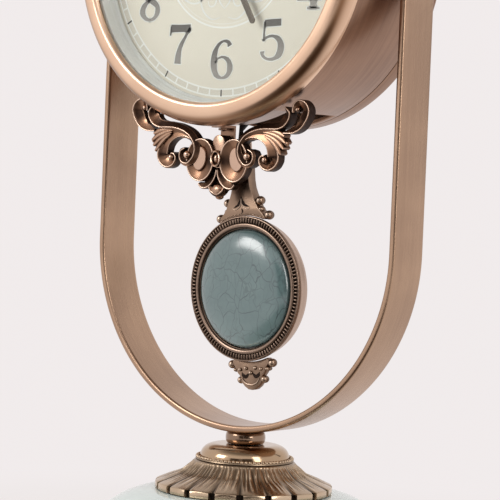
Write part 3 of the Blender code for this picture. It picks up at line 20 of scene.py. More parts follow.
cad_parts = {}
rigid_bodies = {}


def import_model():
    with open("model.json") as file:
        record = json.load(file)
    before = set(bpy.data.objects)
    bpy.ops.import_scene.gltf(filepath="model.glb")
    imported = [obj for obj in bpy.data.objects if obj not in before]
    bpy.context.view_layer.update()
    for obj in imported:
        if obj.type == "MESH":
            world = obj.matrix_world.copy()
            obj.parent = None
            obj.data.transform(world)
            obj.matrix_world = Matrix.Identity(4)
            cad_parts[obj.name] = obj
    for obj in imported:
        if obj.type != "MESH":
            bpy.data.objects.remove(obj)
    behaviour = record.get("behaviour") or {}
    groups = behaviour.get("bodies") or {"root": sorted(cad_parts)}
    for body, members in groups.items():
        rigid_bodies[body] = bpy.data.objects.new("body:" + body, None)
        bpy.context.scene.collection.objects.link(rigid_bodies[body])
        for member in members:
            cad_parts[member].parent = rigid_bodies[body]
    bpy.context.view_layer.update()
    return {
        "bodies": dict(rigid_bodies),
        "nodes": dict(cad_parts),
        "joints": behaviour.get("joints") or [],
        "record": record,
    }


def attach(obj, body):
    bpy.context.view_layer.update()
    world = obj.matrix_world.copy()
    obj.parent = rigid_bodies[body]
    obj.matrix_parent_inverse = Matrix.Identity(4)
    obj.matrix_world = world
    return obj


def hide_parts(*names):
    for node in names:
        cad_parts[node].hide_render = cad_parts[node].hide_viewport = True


log = logging.getLogger("mantel_clock")

MM = 0.001

# Heights of the middle of the frame's bend, of the drum's axis and of the pendulum's pin
ARC_Z = 0.2557
DRUM_Z = 0.4261
PIVOT_Z = 0.3657

# Lean of the pendulum at rest, gap between seated pieces, and radius of the tie screw's hole
SWING = math.radians(6.3)
SEAT = 0.3 * MM
TIE_HOLE = 3.3 * MM

Colour = tuple[float, float, float]
Spot = tuple[float, float, float]
Point = tuple[float, float]


class Grain(Enum):
    """The way a brushed finish runs, as how fast its streaks change along X, Y and Z."""

    ROUND_Y = (30.0, 1500.0, 30.0)
    ROUND_Z = (30.0, 30.0, 1500.0)


class Stone(Enum):
    """The two glazes of the ceramic pieces."""

    BODY = "body"
    CABOCHON = "cabochon"


# Shader maths


def operation(name: str, swapped: bool = False) -> Callable[..., Wire]:
    """A method of Wire that puts one Math node on the wire and any other values."""

    def method(wire: Wire, *values: Term) -> Wire:
        ordered = (*values, wire) if swapped else (wire, *values)
        return wire.net.add("ShaderNodeMath", {"operation": name}, dict(enumerate(ordered)))

    return method


class Wire:
    """A shader socket that takes part in Python arithmetic."""

    __add__ = __radd__ = operation("ADD")
    __mul__ = __rmul__ = operation("MULTIPLY")
    __sub__ = operation("SUBTRACT")
    __rsub__ = operation("SUBTRACT", swapped=True)
    __truediv__ = operation("DIVIDE")
    __pow__ = operation("POWER")
    __abs__ = operation("ABSOLUTE")
    fract = operation("FRACT")
    least = operation("MINIMUM")
    most = operation("MAXIMUM")

    def __init__(self, net: Net, socket: bpy.types.NodeSocket) -> None:
        """Keep the socket and the network that it belongs to."""
        self.net = net
        self.socket = socket

    def step(self, low: float, high: float) -> Wire:
        """A smooth rise from 0 at low to 1 at high, or a fall where low is the higher."""
        ends = {0: self, 1: low, 2: high, 3: 0.0, 4: 1.0}
        return self.net.add("ShaderNodeMapRange", {"interpolation_type": "SMOOTHSTEP"}, ends)

    def near(self, centre: float, half: float, soft: float) -> Wire:
        """A line mask: 1 within half of the centre, with a soft edge."""
        return abs(self - centre).step(half + soft, half)


Term = Union[Wire, float, int]


class Net:
    """The node network of one material, world or lamp."""

    def __init__(self, tree: bpy.types.NodeTree) -> None:
        """Start from an empty tree."""
        self.tree = tree
        tree.nodes.clear()

    def add(self, kind: str, settings: dict[str, Any], values: dict[Any, Any], output: Any = 0) -> Wire:
        """Add a node.

        Args:
            kind: The node's type.
            settings: Its properties.
            values: Values or wires of its inputs, by index or name.
            output: The output that is wanted.

        Returns:
            The output as a wire.
        """
        node = self.tree.nodes.new(kind)
        for name, value in settings.items():
            setattr(node, name, value)
        for key, value in values.items():
            socket = node.inputs[key]
            if isinstance(value, Wire):
                self.tree.links.new(value.socket, socket)
            elif isinstance(value, tuple) and len(value) == 3 and len(socket.default_value) == 4:
                socket.default_value = (*value, 1.0)
            else:
                socket.default_value = value
        return Wire(self, node.outputs[output])

    def place(self, centre: Spot = (0.0, 0.0, 0.0)) -> Wire:
        """Object coordinates about a centre."""
        return self.vector("SUBTRACT", self.add("ShaderNodeTexCoord", {}, {}, "Object"), centre)

    def vector(self, operation: str, first: Wire, second: Any) -> Wire:
        """One Vector Math node."""
        return self.add("ShaderNodeVectorMath", {"operation": operation}, {0: first, 1: second})

    def parts(self, vector: Wire) -> tuple[Wire, ...]:
        """X, Y and Z of a vector."""
        node = self.add("ShaderNodeSeparateXYZ", {}, {0: vector}).socket.node
        return tuple(Wire(self, output) for output in node.outputs)

    def noise(
        self, vector: Wire, scale: float, detail: float = 2.0, rough: float = 0.5, output: Any = 0
    ) -> Wire:
        """Fractal noise, mostly from 0.3 to 0.7."""
        values = {"Vector": vector, "Scale": scale, "Detail": detail, "Roughness": rough}
        return self.add("ShaderNodeTexNoise", {}, values, output)

    def cracks(self, vector: Wire, scale: float) -> Wire:
        """Distance to the nearest cell edge."""
        values = {"Vector": vector, "Scale": scale}
        return self.add("ShaderNodeTexVoronoi", {"feature": "DISTANCE_TO_EDGE"}, values)

    def mix(self, share: Term, first: Any, second: Any) -> Wire:
        """Mix of two colours."""
        return self.add("ShaderNodeMix", {"data_type": "RGBA"}, {0: share, 6: first, 7: second}, 2)

    def attribute(self, name: str) -> Wire:
        """A value stored on the mesh."""
        return self.add("ShaderNodeAttribute", {"attribute_name": name}, {}, "Fac")

    def ray(self, name: str) -> Wire:
        """1 for rays of one kind."""
        return self.add("ShaderNodeLightPath", {}, {}, name)

    def bump(self, height: Wire, strength: float, distance: float) -> Wire:
        """A normal from a height."""
        values = {"Strength": strength, "Distance": distance, "Height": height}
        return self.add("ShaderNodeBump", {}, values, "Normal")

    def glow(self, colour: Colour) -> Wire:
        """An even light of one colour."""
        return self.add("ShaderNodeEmission", {}, {"Color": colour, "Strength": 1.0})

    def blend(self, share: Term, first: Wire, second: Wire) -> Wire:
        """Mix of two shaders."""
        return self.add("ShaderNodeMixShader", {}, {0: share, 1: first, 2: second})

    def surface(self, **values: Any) -> Wire:
        """A Principled shader with its inputs, by name with underscores."""
        named = {name.replace("_", " "): value for name, value in values.items()}
        return self.add("ShaderNodeBsdfPrincipled", {}, named)

    def out(self, shader: Wire, kind: str = "ShaderNodeOutputMaterial") -> None:
        """Send a shader to the output."""
        node = self.tree.nodes.new(kind)
        self.tree.links.new(shader.socket, node.inputs["Surface"])


# Finishes


@dataclass(frozen=True)
class Finish:
    """A finish that becomes one material."""

    name: str

    def made(self) -> bpy.types.Material:
        """The material, made once."""
        known = bpy.data.materials.get(self.name)
        if known:
            return known
        material = bpy.data.materials.new(self.name)
        material.use_nodes = True
        net = Net(material.node_tree)
        net.out(self.shader(net))
        return material

    def shader(self, net: Net) -> Wire:
        """The finish's shader."""
        raise NotImplementedError


@dataclass(frozen=True)
class BrushedMetal(Finish):
    """Plated sheet or bar, brushed one way and lacquered."""

    colour: Colour = (0.5, 0.34, 0.24)
    tone: Colour = (0.36, 0.24, 0.18)
    roughness: float = 0.34
    grain: Grain = Grain.ROUND_Y
    depth: float = 0.00002
    streak: float = 0.5
    cloud: float = 0.25

    def shader(self, net: Net) -> Wire:
        """Fine streaks in colour, gloss and height, and slow clouds of tone."""
        place = net.place()
        lines = net.noise(net.vector("MULTIPLY", place, self.grain.value), 1.0, 3.0, 0.7)
        broad = net.noise(net.vector("MULTIPLY", place, tuple(0.22 * v for v in self.grain.value)), 1.0, 2.0)
        clouds = net.noise(place, 24.0, 3.0)
        streaks = (lines.step(0.25, 0.75) * 0.5 + broad.step(0.3, 0.7) * 0.5) * self.streak
        share = (streaks + clouds.step(0.35, 0.65) * self.cloud).least(1.0)
        rough = lines.step(0.2, 0.8) * 0.12 + (self.roughness - 0.06)
        return net.surface(
            Base_Color=net.mix(share, self.colour, self.tone), Metallic=1.0, Roughness=rough,
            Normal=net.bump(lines, 0.35, self.depth), Coat_Weight=0.2, Coat_Roughness=0.15,
        )


@dataclass(frozen=True)
class PolishedMetal(Finish):
    """Plated and polished metal with faint clouds and fine pits, darker by painted shade (partly patina)
    where the mesh stores it.
    """

    colour: Colour = (0.8, 0.55, 0.4)
    tone: Colour = (0.6, 0.4, 0.28)
    roughness: float = 0.2
    coat: float = 0.2
    patina: Colour = (0.30, 0.16, 0.085)

    def shader(self, net: Net) -> Wire:
        """Soft clouds of tone over a smooth surface."""
        place = net.place()
        clouds = net.noise(place, 22.0, 3.0)
        fine = net.noise(place, 900.0, 2.0)
        colour = net.mix(clouds.step(0.35, 0.7), self.colour, self.tone)
        # Painted shade, partly patina, as on the bezel's outer flank.
        colour = net.mix(net.attribute("groove"), colour, self.patina)
        rough = fine * 0.08 + (self.roughness - 0.04)
        return net.surface(
            Base_Color=colour, Metallic=1.0, Roughness=rough, Normal=net.bump(fine, 0.1, 0.00002),
            Coat_Weight=self.coat, Coat_Roughness=0.1,
        )


@dataclass(frozen=True)
class CastMetal(Finish):
    """Antiqued casting: rubbed wear and a painted highlight on its ridges, patina and painted shade in its
    grooves and on its sides, both stored on the mesh.
    """

    colour: Colour = (0.38, 0.212, 0.13)
    ridge: Colour = (0.92, 0.68, 0.52)
    groove: Colour = (0.04, 0.02, 0.013)
    roughness: float = 0.27

    def shader(self, net: Net) -> Wire:
        """Base colour with masks of painted highlight and painted shade, broken up by noise."""
        place = net.place()
        wear = net.noise(place, 260.0, 3.0, 0.6)
        clouds = net.noise(place, 60.0, 2.0)
        body = net.mix(clouds.step(0.35, 0.65) * 0.5, self.colour, tuple(0.62 * c for c in self.colour))
        # Painted highlight, with some rubbed wear, where the mesh stores it.
        worn_and_lit = net.mix((net.attribute("ridge") * (wear * 0.5 + 0.75)).least(1.0), body, self.ridge)
        # Patina and painted shade where the mesh stores it.
        dark = net.mix((net.attribute("groove") * (wear * 0.4 + 0.8)).least(1.0), worn_and_lit, self.groove)
        rough = net.attribute("groove") * 0.3 + wear * 0.12 + (self.roughness - 0.06)
        return net.surface(
            Base_Color=dark, Metallic=1.0, Roughness=rough, Normal=net.bump(wear, 0.15, 0.00006),
            Coat_Weight=0.1, Coat_Roughness=0.2,
        )


@dataclass(frozen=True)
class Glaze(Finish):
    """Glazed ceramic with fine mottling, and on the cabochon a net of hairline cracks and a painted
    reflection that pales its lower part.
    """

    colour: Colour = (0.5, 0.6, 0.57)
    pale: Colour = (0.72, 0.78, 0.75)
    crack: Colour = (0.1, 0.14, 0.15)
    stone: Stone = Stone.BODY
    pool_low: float = 0.197
    pool_high: float = 0.228

    def shader(self, net: Net) -> Wire:
        """Mottled colour under a clear coat."""
        place = net.place()
        clouds = net.noise(place, 38.0, 3.0)
        specks = net.noise(place, 420.0, 2.0)
        share = clouds.step(0.3, 0.7) * 0.5 + specks.step(0.4, 0.7) * 0.12
        gloss, coat, index = 0.035, 0.15, 1.25
        if self.stone is Stone.CABOCHON:
            gloss, coat, index = 0.17, 1.0, 1.5
            # Painted reflection: the cabochon is paler below its middle.
            share = (share + net.parts(place)[2].step(self.pool_high, self.pool_low) * 0.5).least(1.0)
        colour = net.mix(share, self.colour, self.pale)
        if self.stone is Stone.CABOCHON:
            colour = self.crazed(net, place, clouds, colour)
        return net.surface(
            Base_Color=colour, Roughness=0.22, IOR=index, Coat_Weight=coat, Coat_Roughness=gloss,
            Coat_IOR=1.65, Normal=net.bump(clouds, 0.05, 0.0004),
        )

    def crazed(self, net: Net, place: Wire, clouds: Wire, colour: Wire) -> Wire:
        """The colour with long hairlines, mostly upright, and finer ones here and there."""
        bend = net.noise(place, 70.0, output="Color")
        warped = net.vector("ADD", place, net.vector("MULTIPLY", bend, (0.012, 0.012, 0.012)))
        drawn = net.vector("MULTIPLY", warped, (1.35, 1.0, 0.8))
        wide = net.cracks(drawn, 78.0).step(0.022, 0.005)
        fine = net.cracks(net.vector("ADD", drawn, (0.3, 0.1, 0.2)), 132.0).step(0.035, 0.008)
        broken = net.noise(net.vector("ADD", place, (0.5, 0.2, 0.7)), 90.0, 1.0).step(0.38, 0.52)
        lines = (wide * (broken * 0.4 + 0.35)).most(fine * clouds.step(0.42, 0.55) * 0.4)
        return net.mix(lines, colour, self.crack)


@dataclass(frozen=True)
class DialPrint(Finish):
    """The dial: champagne metal with printed rings, minute bars, a fine grid and five minute ticks."""

    colour: Colour = (0.80, 0.745, 0.645)
    print_colour: Colour = (0.95, 0.94, 0.90)
    tick: Colour = (0.03, 0.027, 0.025)
    outer: float = 0.0852
    inner: float = 0.0812
    medallion: float = 0.0459
    medallion_line: float = 0.0438
    soft: float = 0.0001
    minutes: float = 60.0
    hours: float = 12.0
    cells: float = 480.0
    arcs_per_metre: float = 1000.0

    def shader(self, net: Net) -> Wire:
        """Rings and marks from the distance and angle about the dial's axis."""
        place = net.place((0.0, 0.0, DRUM_Z))
        x, _, z = net.parts(place)
        reach = (x * x + z * z) ** 0.5
        angle = net.add("ShaderNodeMath", {"operation": "ARCTAN2"}, {0: x, 1: z})
        turn = angle / math.tau + 1.0
        fine = net.noise(place, 700.0, 2.0)
        clouds = net.noise(place, 9.0, 2.0)
        bright = tuple(min(1.0, c * 1.1) for c in self.colour)
        base = net.mix(clouds.step(0.3, 0.7) * 0.5 + fine * 0.2, self.colour, bright)
        # Painted sheen: lighter towards the middle.
        base = net.mix(reach.step(0.09, 0.02) * 0.35, base, (0.86, 0.82, 0.72))
        inner, outer, soft = self.inner, self.outer, self.soft
        rings = reach.near(outer, 0.00042, soft).most(reach.near(inner, 0.0004, soft))
        rings = rings.most(reach.near(self.medallion, 0.00045, soft))
        rings = rings.most(reach.near(self.medallion_line, 0.00016, soft) * 0.6)
        track = reach.step(inner - soft, inner) * reach.step(outer + soft, outer)
        base = net.mix(track * 0.35, base, tuple(0.72 * c for c in self.colour))
        bar = self.bars(turn, reach, self.minutes, 0.0006) * track
        grid = abs((turn * self.cells).fract() - 0.5).step(0.36, 0.46) * 0.35 * track
        cross = abs((reach * self.arcs_per_metre).fract() - 0.5).step(0.38, 0.47) * 0.35 * track
        marks = rings.most(bar).most(grid).most(cross)
        colour = net.mix(marks, base, self.print_colour)
        five = self.bars(turn, reach, self.hours, 0.00055)
        five = five * reach.step(inner + 0.0002, inner + 0.0004) * reach.step(outer + 0.0002, outer)
        colour = net.mix(five, colour, self.tick)
        return net.surface(Base_Color=colour, Roughness=0.42, Metallic=0.15, Specular_IOR_Level=0.4)

    def bars(self, turn: Wire, reach: Wire, count: float, width: float) -> Wire:
        """Radial bars of an even width, so many in the whole turn."""
        side = abs((turn * count).fract() - 0.5) * reach * (math.tau / count)
        return (reach * (math.tau / count / 2) - side).step(width, 0.0004)


@dataclass(frozen=True)
class Paint(Finish):
    """An even coat: paint, print, plastic or lacquer with fine texture."""

    colour: Colour = (0.5, 0.5, 0.5)
    roughness: float = 0.4
    metallic: float = 0.0
    texture: float = 0.3
    scale: float = 900.0
    spread: float = 0.12

    def shader(self, net: Net) -> Wire:
        """The colour with a little spread, and a fine grain in its height."""
        place = net.place()
        grain = net.noise(place, self.scale, 2.0)
        clouds = net.noise(place, 30.0, 2.0)
        colour = net.mix(
            clouds.step(0.3, 0.7), self.colour, tuple(c * (1.0 - self.spread) for c in self.colour)
        )
        rough = grain * 0.1 + (self.roughness - 0.05)
        return net.surface(
            Base_Color=colour, Roughness=rough, Metallic=self.metallic,
            Normal=net.bump(grain, self.texture, 0.00003),
        )


@dataclass(frozen=True)
class NumeralInk(Finish):
    """Grey numerals that fade from dark at the top to light at the foot of each one."""

    dark: Colour = (0.13, 0.118, 0.108)
    light: Colour = (0.33, 0.305, 0.285)

    def shader(self, net: Net) -> Wire:
        """A fade from the value stored on each numeral, 1 at its top."""
        colour = net.mix(net.attribute("fade").step(0.1, 0.9), self.light, self.dark)
        return net.surface(Base_Color=colour, Roughness=0.4, Metallic=0.2)


@dataclass(frozen=True)
class ClearGlass(Finish):
    """Flat clear glass: open to what lies behind, with a faint gloss."""

    tint: Colour = (0.975, 0.99, 0.985)

    def shader(self, net: Net) -> Wire:
        """Transparent and glossy, by the angle of view."""
        gloss = net.add("ShaderNodeBsdfGlossy", {}, {"Color": (1.0, 1.0, 1.0), "Roughness": 0.03})
        through = net.add("ShaderNodeBsdfTransparent", {}, {"Color": self.tint})
        rim = net.add("ShaderNodeFresnel", {}, {"IOR": 1.3})
        smudge = net.noise(net.place(), 12.0, 2.0).step(0.3, 0.8) * 0.1 + 0.45
        return net.blend(rim * smudge, through, gloss)


@dataclass(frozen=True)
class Table(Finish):
    """The floor: pale paint near the clock, and the backdrop's tone further out."""

    paint: Colour = (0.84, 0.815, 0.805)
    backdrop: Colour = (0.88, 0.835, 0.835)
    shade: Colour = (0.10, 0.075, 0.06)
    near: float = 0.5
    far: float = 0.85
    spot: tuple[float, float] = (0.2, -0.42)
    spot_near: float = 0.28
    spot_far: float = 0.5

    def shader(self, net: Net) -> Wire:
        """Paint that takes the shadow, the backdrop's glow further out, and a dark tone for mirrors."""
        x, y, _ = net.parts(net.place())
        close = ((x * x + y * y) ** 0.5).step(self.far, self.near)
        right, ahead = x - self.spot[0], y - self.spot[1]
        front = ((right * right + ahead * ahead) ** 0.5).step(self.spot_far, self.spot_near)
        plain = net.add("ShaderNodeBsdfDiffuse", {}, {"Color": self.paint})
        glow = net.glow(self.backdrop)
        open_view = net.ray("Is Camera Ray").most(net.ray("Is Transmission Ray"))
        seen = net.blend(open_view * (1.0 - close), plain, glow)
        mirror = net.blend(front, glow, net.glow(self.shade))
        return net.blend(net.ray("Is Glossy Ray"), seen, mirror)


@dataclass(frozen=True)
class Palette:
    """Every finish of the clock."""

    frame: Finish = BrushedMetal(
        "frame_copper", (0.52, 0.345, 0.228), (0.38, 0.245, 0.165), 0.3, Grain.ROUND_Y, 0.00001, 0.4, 0.5
    )
    drum: Finish = BrushedMetal(
        "drum_copper", (0.38, 0.225, 0.148), (0.26, 0.15, 0.098), 0.34, Grain.ROUND_Y, 0.00001, 0.7, 0.3
    )
    bezel: Finish = PolishedMetal("bezel_copper", (0.88, 0.62, 0.44), (0.80, 0.54, 0.375), 0.3, 0.1)
    ring: Finish = CastMetal(
        "ring_copper", (0.23, 0.155, 0.113), (0.46, 0.34, 0.26), (0.03, 0.018, 0.013), 0.28
    )
    cup: Finish = BrushedMetal("cup_copper", (0.58, 0.43, 0.335), (0.44, 0.32, 0.25), 0.32, Grain.ROUND_Y)
    cast: Finish = CastMetal("antique_casting")
    crown: Finish = CastMetal(
        "crown_casting", (0.34, 0.23, 0.16), (0.74, 0.58, 0.45), (0.03, 0.018, 0.013), 0.32
    )
    inlay: Finish = PolishedMetal("inlay_copper", (0.60, 0.42, 0.315), (0.52, 0.355, 0.265), 0.42, 0.0)
    bronze: Finish = CastMetal(
        "flange_bronze", (0.54, 0.40, 0.27), (0.92, 0.74, 0.54), (0.02, 0.012, 0.008), 0.24
    )
    dome: Finish = PolishedMetal("dome_bronze", (0.50, 0.355, 0.225), (0.42, 0.29, 0.18), 0.14)
    collar: Finish = PolishedMetal("collar_bronze", (0.34, 0.23, 0.16), (0.26, 0.17, 0.115), 0.16)
    body: Finish = Glaze("celadon_glaze", (0.10, 0.145, 0.143), (0.17, 0.22, 0.217))
    cabochon: Finish = Glaze(
        "crackle_glaze", (0.085, 0.145, 0.148), (0.14, 0.215, 0.213), (0.035, 0.055, 0.06), Stone.CABOCHON,
    )
    dial: Finish = DialPrint("dial_print")
    ink: Finish = NumeralInk("numeral_ink")
    white: Finish = Paint("print_white", (0.95, 0.94, 0.90), 0.45, 0.0, 0.1)
    reflector: Finish = Paint("reflector_grey", (0.88, 0.88, 0.87), 0.4, 0.15, 0.1)
    glass: Finish = ClearGlass("dial_glass")
    hand: Finish = Paint("hand_enamel", (0.14, 0.125, 0.11), 0.35, 0.4, 0.1)
    steel: Finish = BrushedMetal("zinc_steel", (0.55, 0.55, 0.54), (0.42, 0.42, 0.42), 0.3, Grain.ROUND_Z)
    plastic: Finish = Paint("black_plastic", (0.025, 0.025, 0.027), 0.42, 0.0, 0.5)
    cell: Finish = Paint("cell_wrap", (0.08, 0.10, 0.13), 0.3, 0.2, 0.1)
    felt: Finish = Paint("felt", (0.06, 0.055, 0.05), 0.95, 0.0, 1.0, 2600.0)
    table: Finish = Table("floor_paint")
    flag: Finish = Paint("flag_cloth", (0.11, 0.09, 0.08), 0.9, 0.0, 0.0)


PALETTE = Palette()


# Drawing and mesh tools


class Axis(Enum):
    """The axis that a profile turns round."""

    UP = (0.0, 0.0, 1.0)
    FRONT = (0.0, 1.0, 0.0)
    SIDE = (1.0, 0.0, 0.0)


def fillet(points: Sequence[Point], radius: float, closed: bool = True, count: int = 3) -> list[Point]:
    """The points with rounded corners, as far as their sides allow."""
    made: list[Point] = []
    last = len(points) - 1
    for i, point in enumerate(points):
        if not closed and i in (0, last):
            made.append(point)
            continue
        here = Vector(point)
        before, after = Vector(points[i - 1]) - here, Vector(points[(i + 1) % len(points)]) - here
        reach = min(radius, before.length * 0.45, after.length * 0.45)
        start, end = here + before.normalized() * reach, here + after.normalized() * reach
        for k in range(count + 1):
            t = k / count
            made.append(tuple(start * (1 - t) ** 2 + here * (2 * t * (1 - t)) + end * t ** 2))
    return made


def arc(x: float, z: float, radius: float, start: float, end: float, count: int) -> list[Point]:
    """Points on an arc, its angles in degrees."""
    angles = [math.radians(start + (end - start) * i / (count - 1)) for i in range(count)]
    return [(x + radius * math.cos(a), z + radius * math.sin(a)) for a in angles]


def beside(x: float, z: float, *rows: Point) -> list[Point]:
    """Points given in millimetres from the point (x, z)."""
    return [(x + right * MM, z + up * MM) for right, up in rows]


def bell(distance: float, width: float) -> float:
    """1 at no distance, with a smooth fall over the width."""
    return math.exp(-(distance / width) ** 2)


def mirrored(half: Sequence[Point]) -> list[Point]:
    """A closed outline from its right half, which runs from the top of the middle line to its foot."""
    return [*half, *((-x, z) for x, z in reversed(half) if x > 0.001 * MM)]


def spread(values: Sequence[float], t: float) -> float:
    """The value at a share t of an even row of values, with smooth steps between them."""
    place = min(max(t, 0.0), 1.0) * (len(values) - 1)
    low = min(int(place), len(values) - 2)
    part = place - low
    return values[low] + (values[low + 1] - values[low]) * part * part * (3 - 2 * part)


def quarter(count: int) -> list[float]:
    """Angles from 0 to a right angle in even steps."""
    return [math.pi / 2 * i / count for i in range(count + 1)]


class Path:
    """A smooth curve through the points of a flat drawing."""

    def __init__(self, points: Sequence[Point], unit: float = MM) -> None:
        """Keep the points, scaled by the unit."""
        self.points = [Vector(p) * unit for p in points]

    def at(self, t: float) -> Vector:
        """The curve's point at a share t of its spans."""
        spans = len(self.points) - 1
        place = min(max(t, 0.0), 1.0) * spans
        i = min(int(place), spans - 1)
        s = place - i
        p = self.points
        a, b, c, d = p[max(i - 1, 0)], p[i], p[i + 1], p[min(i + 2, spans)]
        return 0.5 * (
            2 * b + (c - a) * s + (2 * a - 5 * b + 4 * c - d) * s * s + (3 * b - a - 3 * c + d) * s ** 3
        )

    def normal(self, t: float) -> Vector:
        """The unit vector to the left of the curve."""
        along = (self.at(min(t + 0.004, 1.0)) - self.at(max(t - 0.004, 0.0))).normalized()
        return Vector((-along.y, along.x))


Relief = tuple[float, float, float]
Section = Callable[[float, float], Relief]
Placed = tuple[Vector, float, float]


@dataclass(frozen=True)
class Rolled:
    """A round band with a painted highlight (with rubbed wear) along its crest and painted shade towards its
    edges.
    """

    sag: float = 0.5
    lit: float = 0.5
    crest: float = 0.5
    deepest: float = 2.4 * MM
    glow: float = 0.3
    dark_from: float = 0.72

    def __call__(self, t: float, width: float) -> Relief:
        """Depth, painted highlight and painted shade at a share t of the band's width."""
        across = (t - self.crest) / (self.crest if t < self.crest else 1 - self.crest)
        fall = 1 - math.sqrt(max(1 - across * across, 0.0))
        depth = min(self.sag * width, self.deepest) * fall
        groove = 0.9 * max(abs(across) - self.dark_from, 0.0) / (1 - self.dark_from)
        return depth, self.lit * bell(across, self.glow), groove


@dataclass(frozen=True)
class Plain:
    """A flat face with softened edges and an even dark tone."""

    dark: float = 1.0
    edge: float = 0.1 * MM

    def __call__(self, t: float, width: float) -> Relief:
        """Depth, ridge and groove at a share t of the band's width."""
        share = max(1 - min(t, 1 - t) * width / self.edge, 0.0)
        return self.edge * share * share, 0.0, self.dark


class Solid:
    """One closed body under construction, with painted highlight and painted shade values (partly wear and
    patina) at its points.
    """

    def __init__(self, mesh: bmesh.types.BMesh | None = None) -> None:
        """Start with an empty mesh, or keep the one that is given."""
        self.mesh = mesh or bmesh.new()
        floats = self.mesh.verts.layers.float
        if mesh is None:
            for name in ("ridge", "groove", "fade"):
                floats.new(name)
        self.ridge, self.groove, self.fade = (floats.get(name) for name in ("ridge", "groove", "fade"))

    def weld(self, dist: float = 0.002 * MM) -> Solid:
        """Merge doubles and close open ends."""
        bmesh.ops.remove_doubles(self.mesh, verts=self.mesh.verts[:], dist=dist)
        rims = [edge for edge in self.mesh.edges if edge.is_boundary]
        if rims:
            bmesh.ops.holes_fill(self.mesh, edges=rims, sides=0)
        return self

    def copy(self, matrix: Matrix) -> Solid:
        """The same body again, moved."""
        return Solid(self.mesh.copy()).move(matrix)

    def move(self, matrix: Matrix) -> Solid:
        """Move the whole body."""
        bmesh.ops.transform(self.mesh, matrix=matrix, verts=self.mesh.verts[:])
        return self

    def warp(self, change: Callable[[Vector], Placed]) -> Solid:
        """Move the points by a function that also gives their painted highlight and painted shade values."""
        for vert in self.mesh.verts:
            vert.co, vert[self.ridge], vert[self.groove] = change(vert.co.copy())
        return self

    def tone(self, groove: float) -> Solid:
        """Give every point the same painted shade value."""
        for vert in self.mesh.verts:
            vert[self.groove] = groove
        return self


def turned(profile: Sequence[Point], axis: Axis = Axis.UP, steps: int = 192, closed: bool = True) -> Solid:
    """Turn a profile round an axis.

    Args:
        profile: Points as radius and height along the axis.
        axis: The axis through the origin.
        steps: Steps of the whole turn.
        closed: Whether the last point joins the first. An open profile ends on the axis.

    Returns:
        The closed body.
    """
    made = Solid()
    mesh = made.mesh
    line = Vector(axis.value)
    side = Vector((0, 0, 1)) if axis is Axis.SIDE else Vector((1, 0, 0))
    corners = [mesh.verts.new(side * r + line * h) for r, h in profile]
    edges = [mesh.edges.new(pair) for pair in zip(corners, corners[1:] + (corners[:1] if closed else []))]
    sectors = 1
    while (steps // sectors) % 2 == 0 and steps // sectors > 12:
        sectors *= 2
    angle = math.tau / sectors
    bmesh.ops.spin(
        mesh, geom=corners + edges, axis=line, cent=(0, 0, 0), steps=steps // sectors, angle=angle,
        use_merge=sectors == 1,
    )
    while angle < math.tau * 0.99:
        again = bmesh.ops.duplicate(mesh, geom=mesh.verts[:] + mesh.edges[:] + mesh.faces[:])["geom"]
        verts = [item for item in again if isinstance(item, bmesh.types.BMVert)]
        bmesh.ops.rotate(mesh, cent=(0, 0, 0), matrix=Matrix.Rotation(angle, 3, line), verts=verts)
        angle *= 2
    return made.weld()


def sheet(along: int, across: int, place: Callable[[float, float], Placed]) -> Solid:
    """Place a grid by a function of two shares that gives point, painted highlight and painted shade, and
    close it.
    """
    made = Solid()
    for vert in bmesh.ops.create_grid(made.mesh, x_segments=along, y_segments=across, size=0.5)["verts"]:
        vert.co, vert[made.ridge], vert[made.groove] = place(vert.co.x + 0.5, vert.co.y + 0.5)
    return made.weld()


def stations(path: Path, *tracks: Sequence[float]) -> Callable[[float], tuple[Any, ...]]:
    """A function of the share along a path that gives its point, its normal and the tracks' values."""

    @lru_cache(maxsize=None)
    def at(u: float) -> tuple[Any, ...]:
        return (path.at(u), path.normal(u), *(spread(track, u) * MM for track in tracks))

    return at


def ribbon(path: Path, widths: Sequence[float], front: float, back: float, section: Section,
           along: int, across: int) -> Solid:
    """Lay a relief strip along a path in the XZ plane.

    Args:
        path: The strip's middle line.
        widths: Widths in millimetres, evenly along the path.
        front: Y of the highest face.
        back: Y of the flat back.
        section: The face's relief.
        along: Spans along the path.
        across: Spans round the section.

    Returns:
        The closed strip.
    """
    face = across - 3
    at = stations(path, widths)

    def place(u: float, v: float) -> Placed:
        middle, normal, width = at(u)
        row = round(v * across) % across
        t = row / face if row <= face else float(row == face + 1)
        flat = middle + normal * width * (t - 0.5)
        # The sides and back take an even painted shade.
        if row > face:
            return Vector((flat.x, back, flat.y)), 0.0, 0.35
        depth, ridge, groove = section(t, width)
        return Vector((flat.x, min(front + depth, back - 0.05 * MM), flat.y)), ridge, groove

    return sheet(along, across, place)


def bead(centre: Sequence[float], half: Sequence[float], lit: float = 0.8, steps: int = 20) -> Solid:
    """An oval bead with a painted highlight on its front, set by the share lit, and painted shade on its
    sides and back.
    """
    made = Solid()
    bmesh.ops.create_uvsphere(made.mesh, u_segments=steps, v_segments=max(steps // 2, 6), radius=1.0)
    for vert in made.mesh.verts:
        vert[made.ridge] = lit * max(-vert.co.y, 0.0) ** 5
        vert[made.groove] = 0.9 * max(0.3 + vert.co.y, 0.0)
    return made.move(Matrix.Translation(centre) @ Matrix.Diagonal((*half, 1.0)))


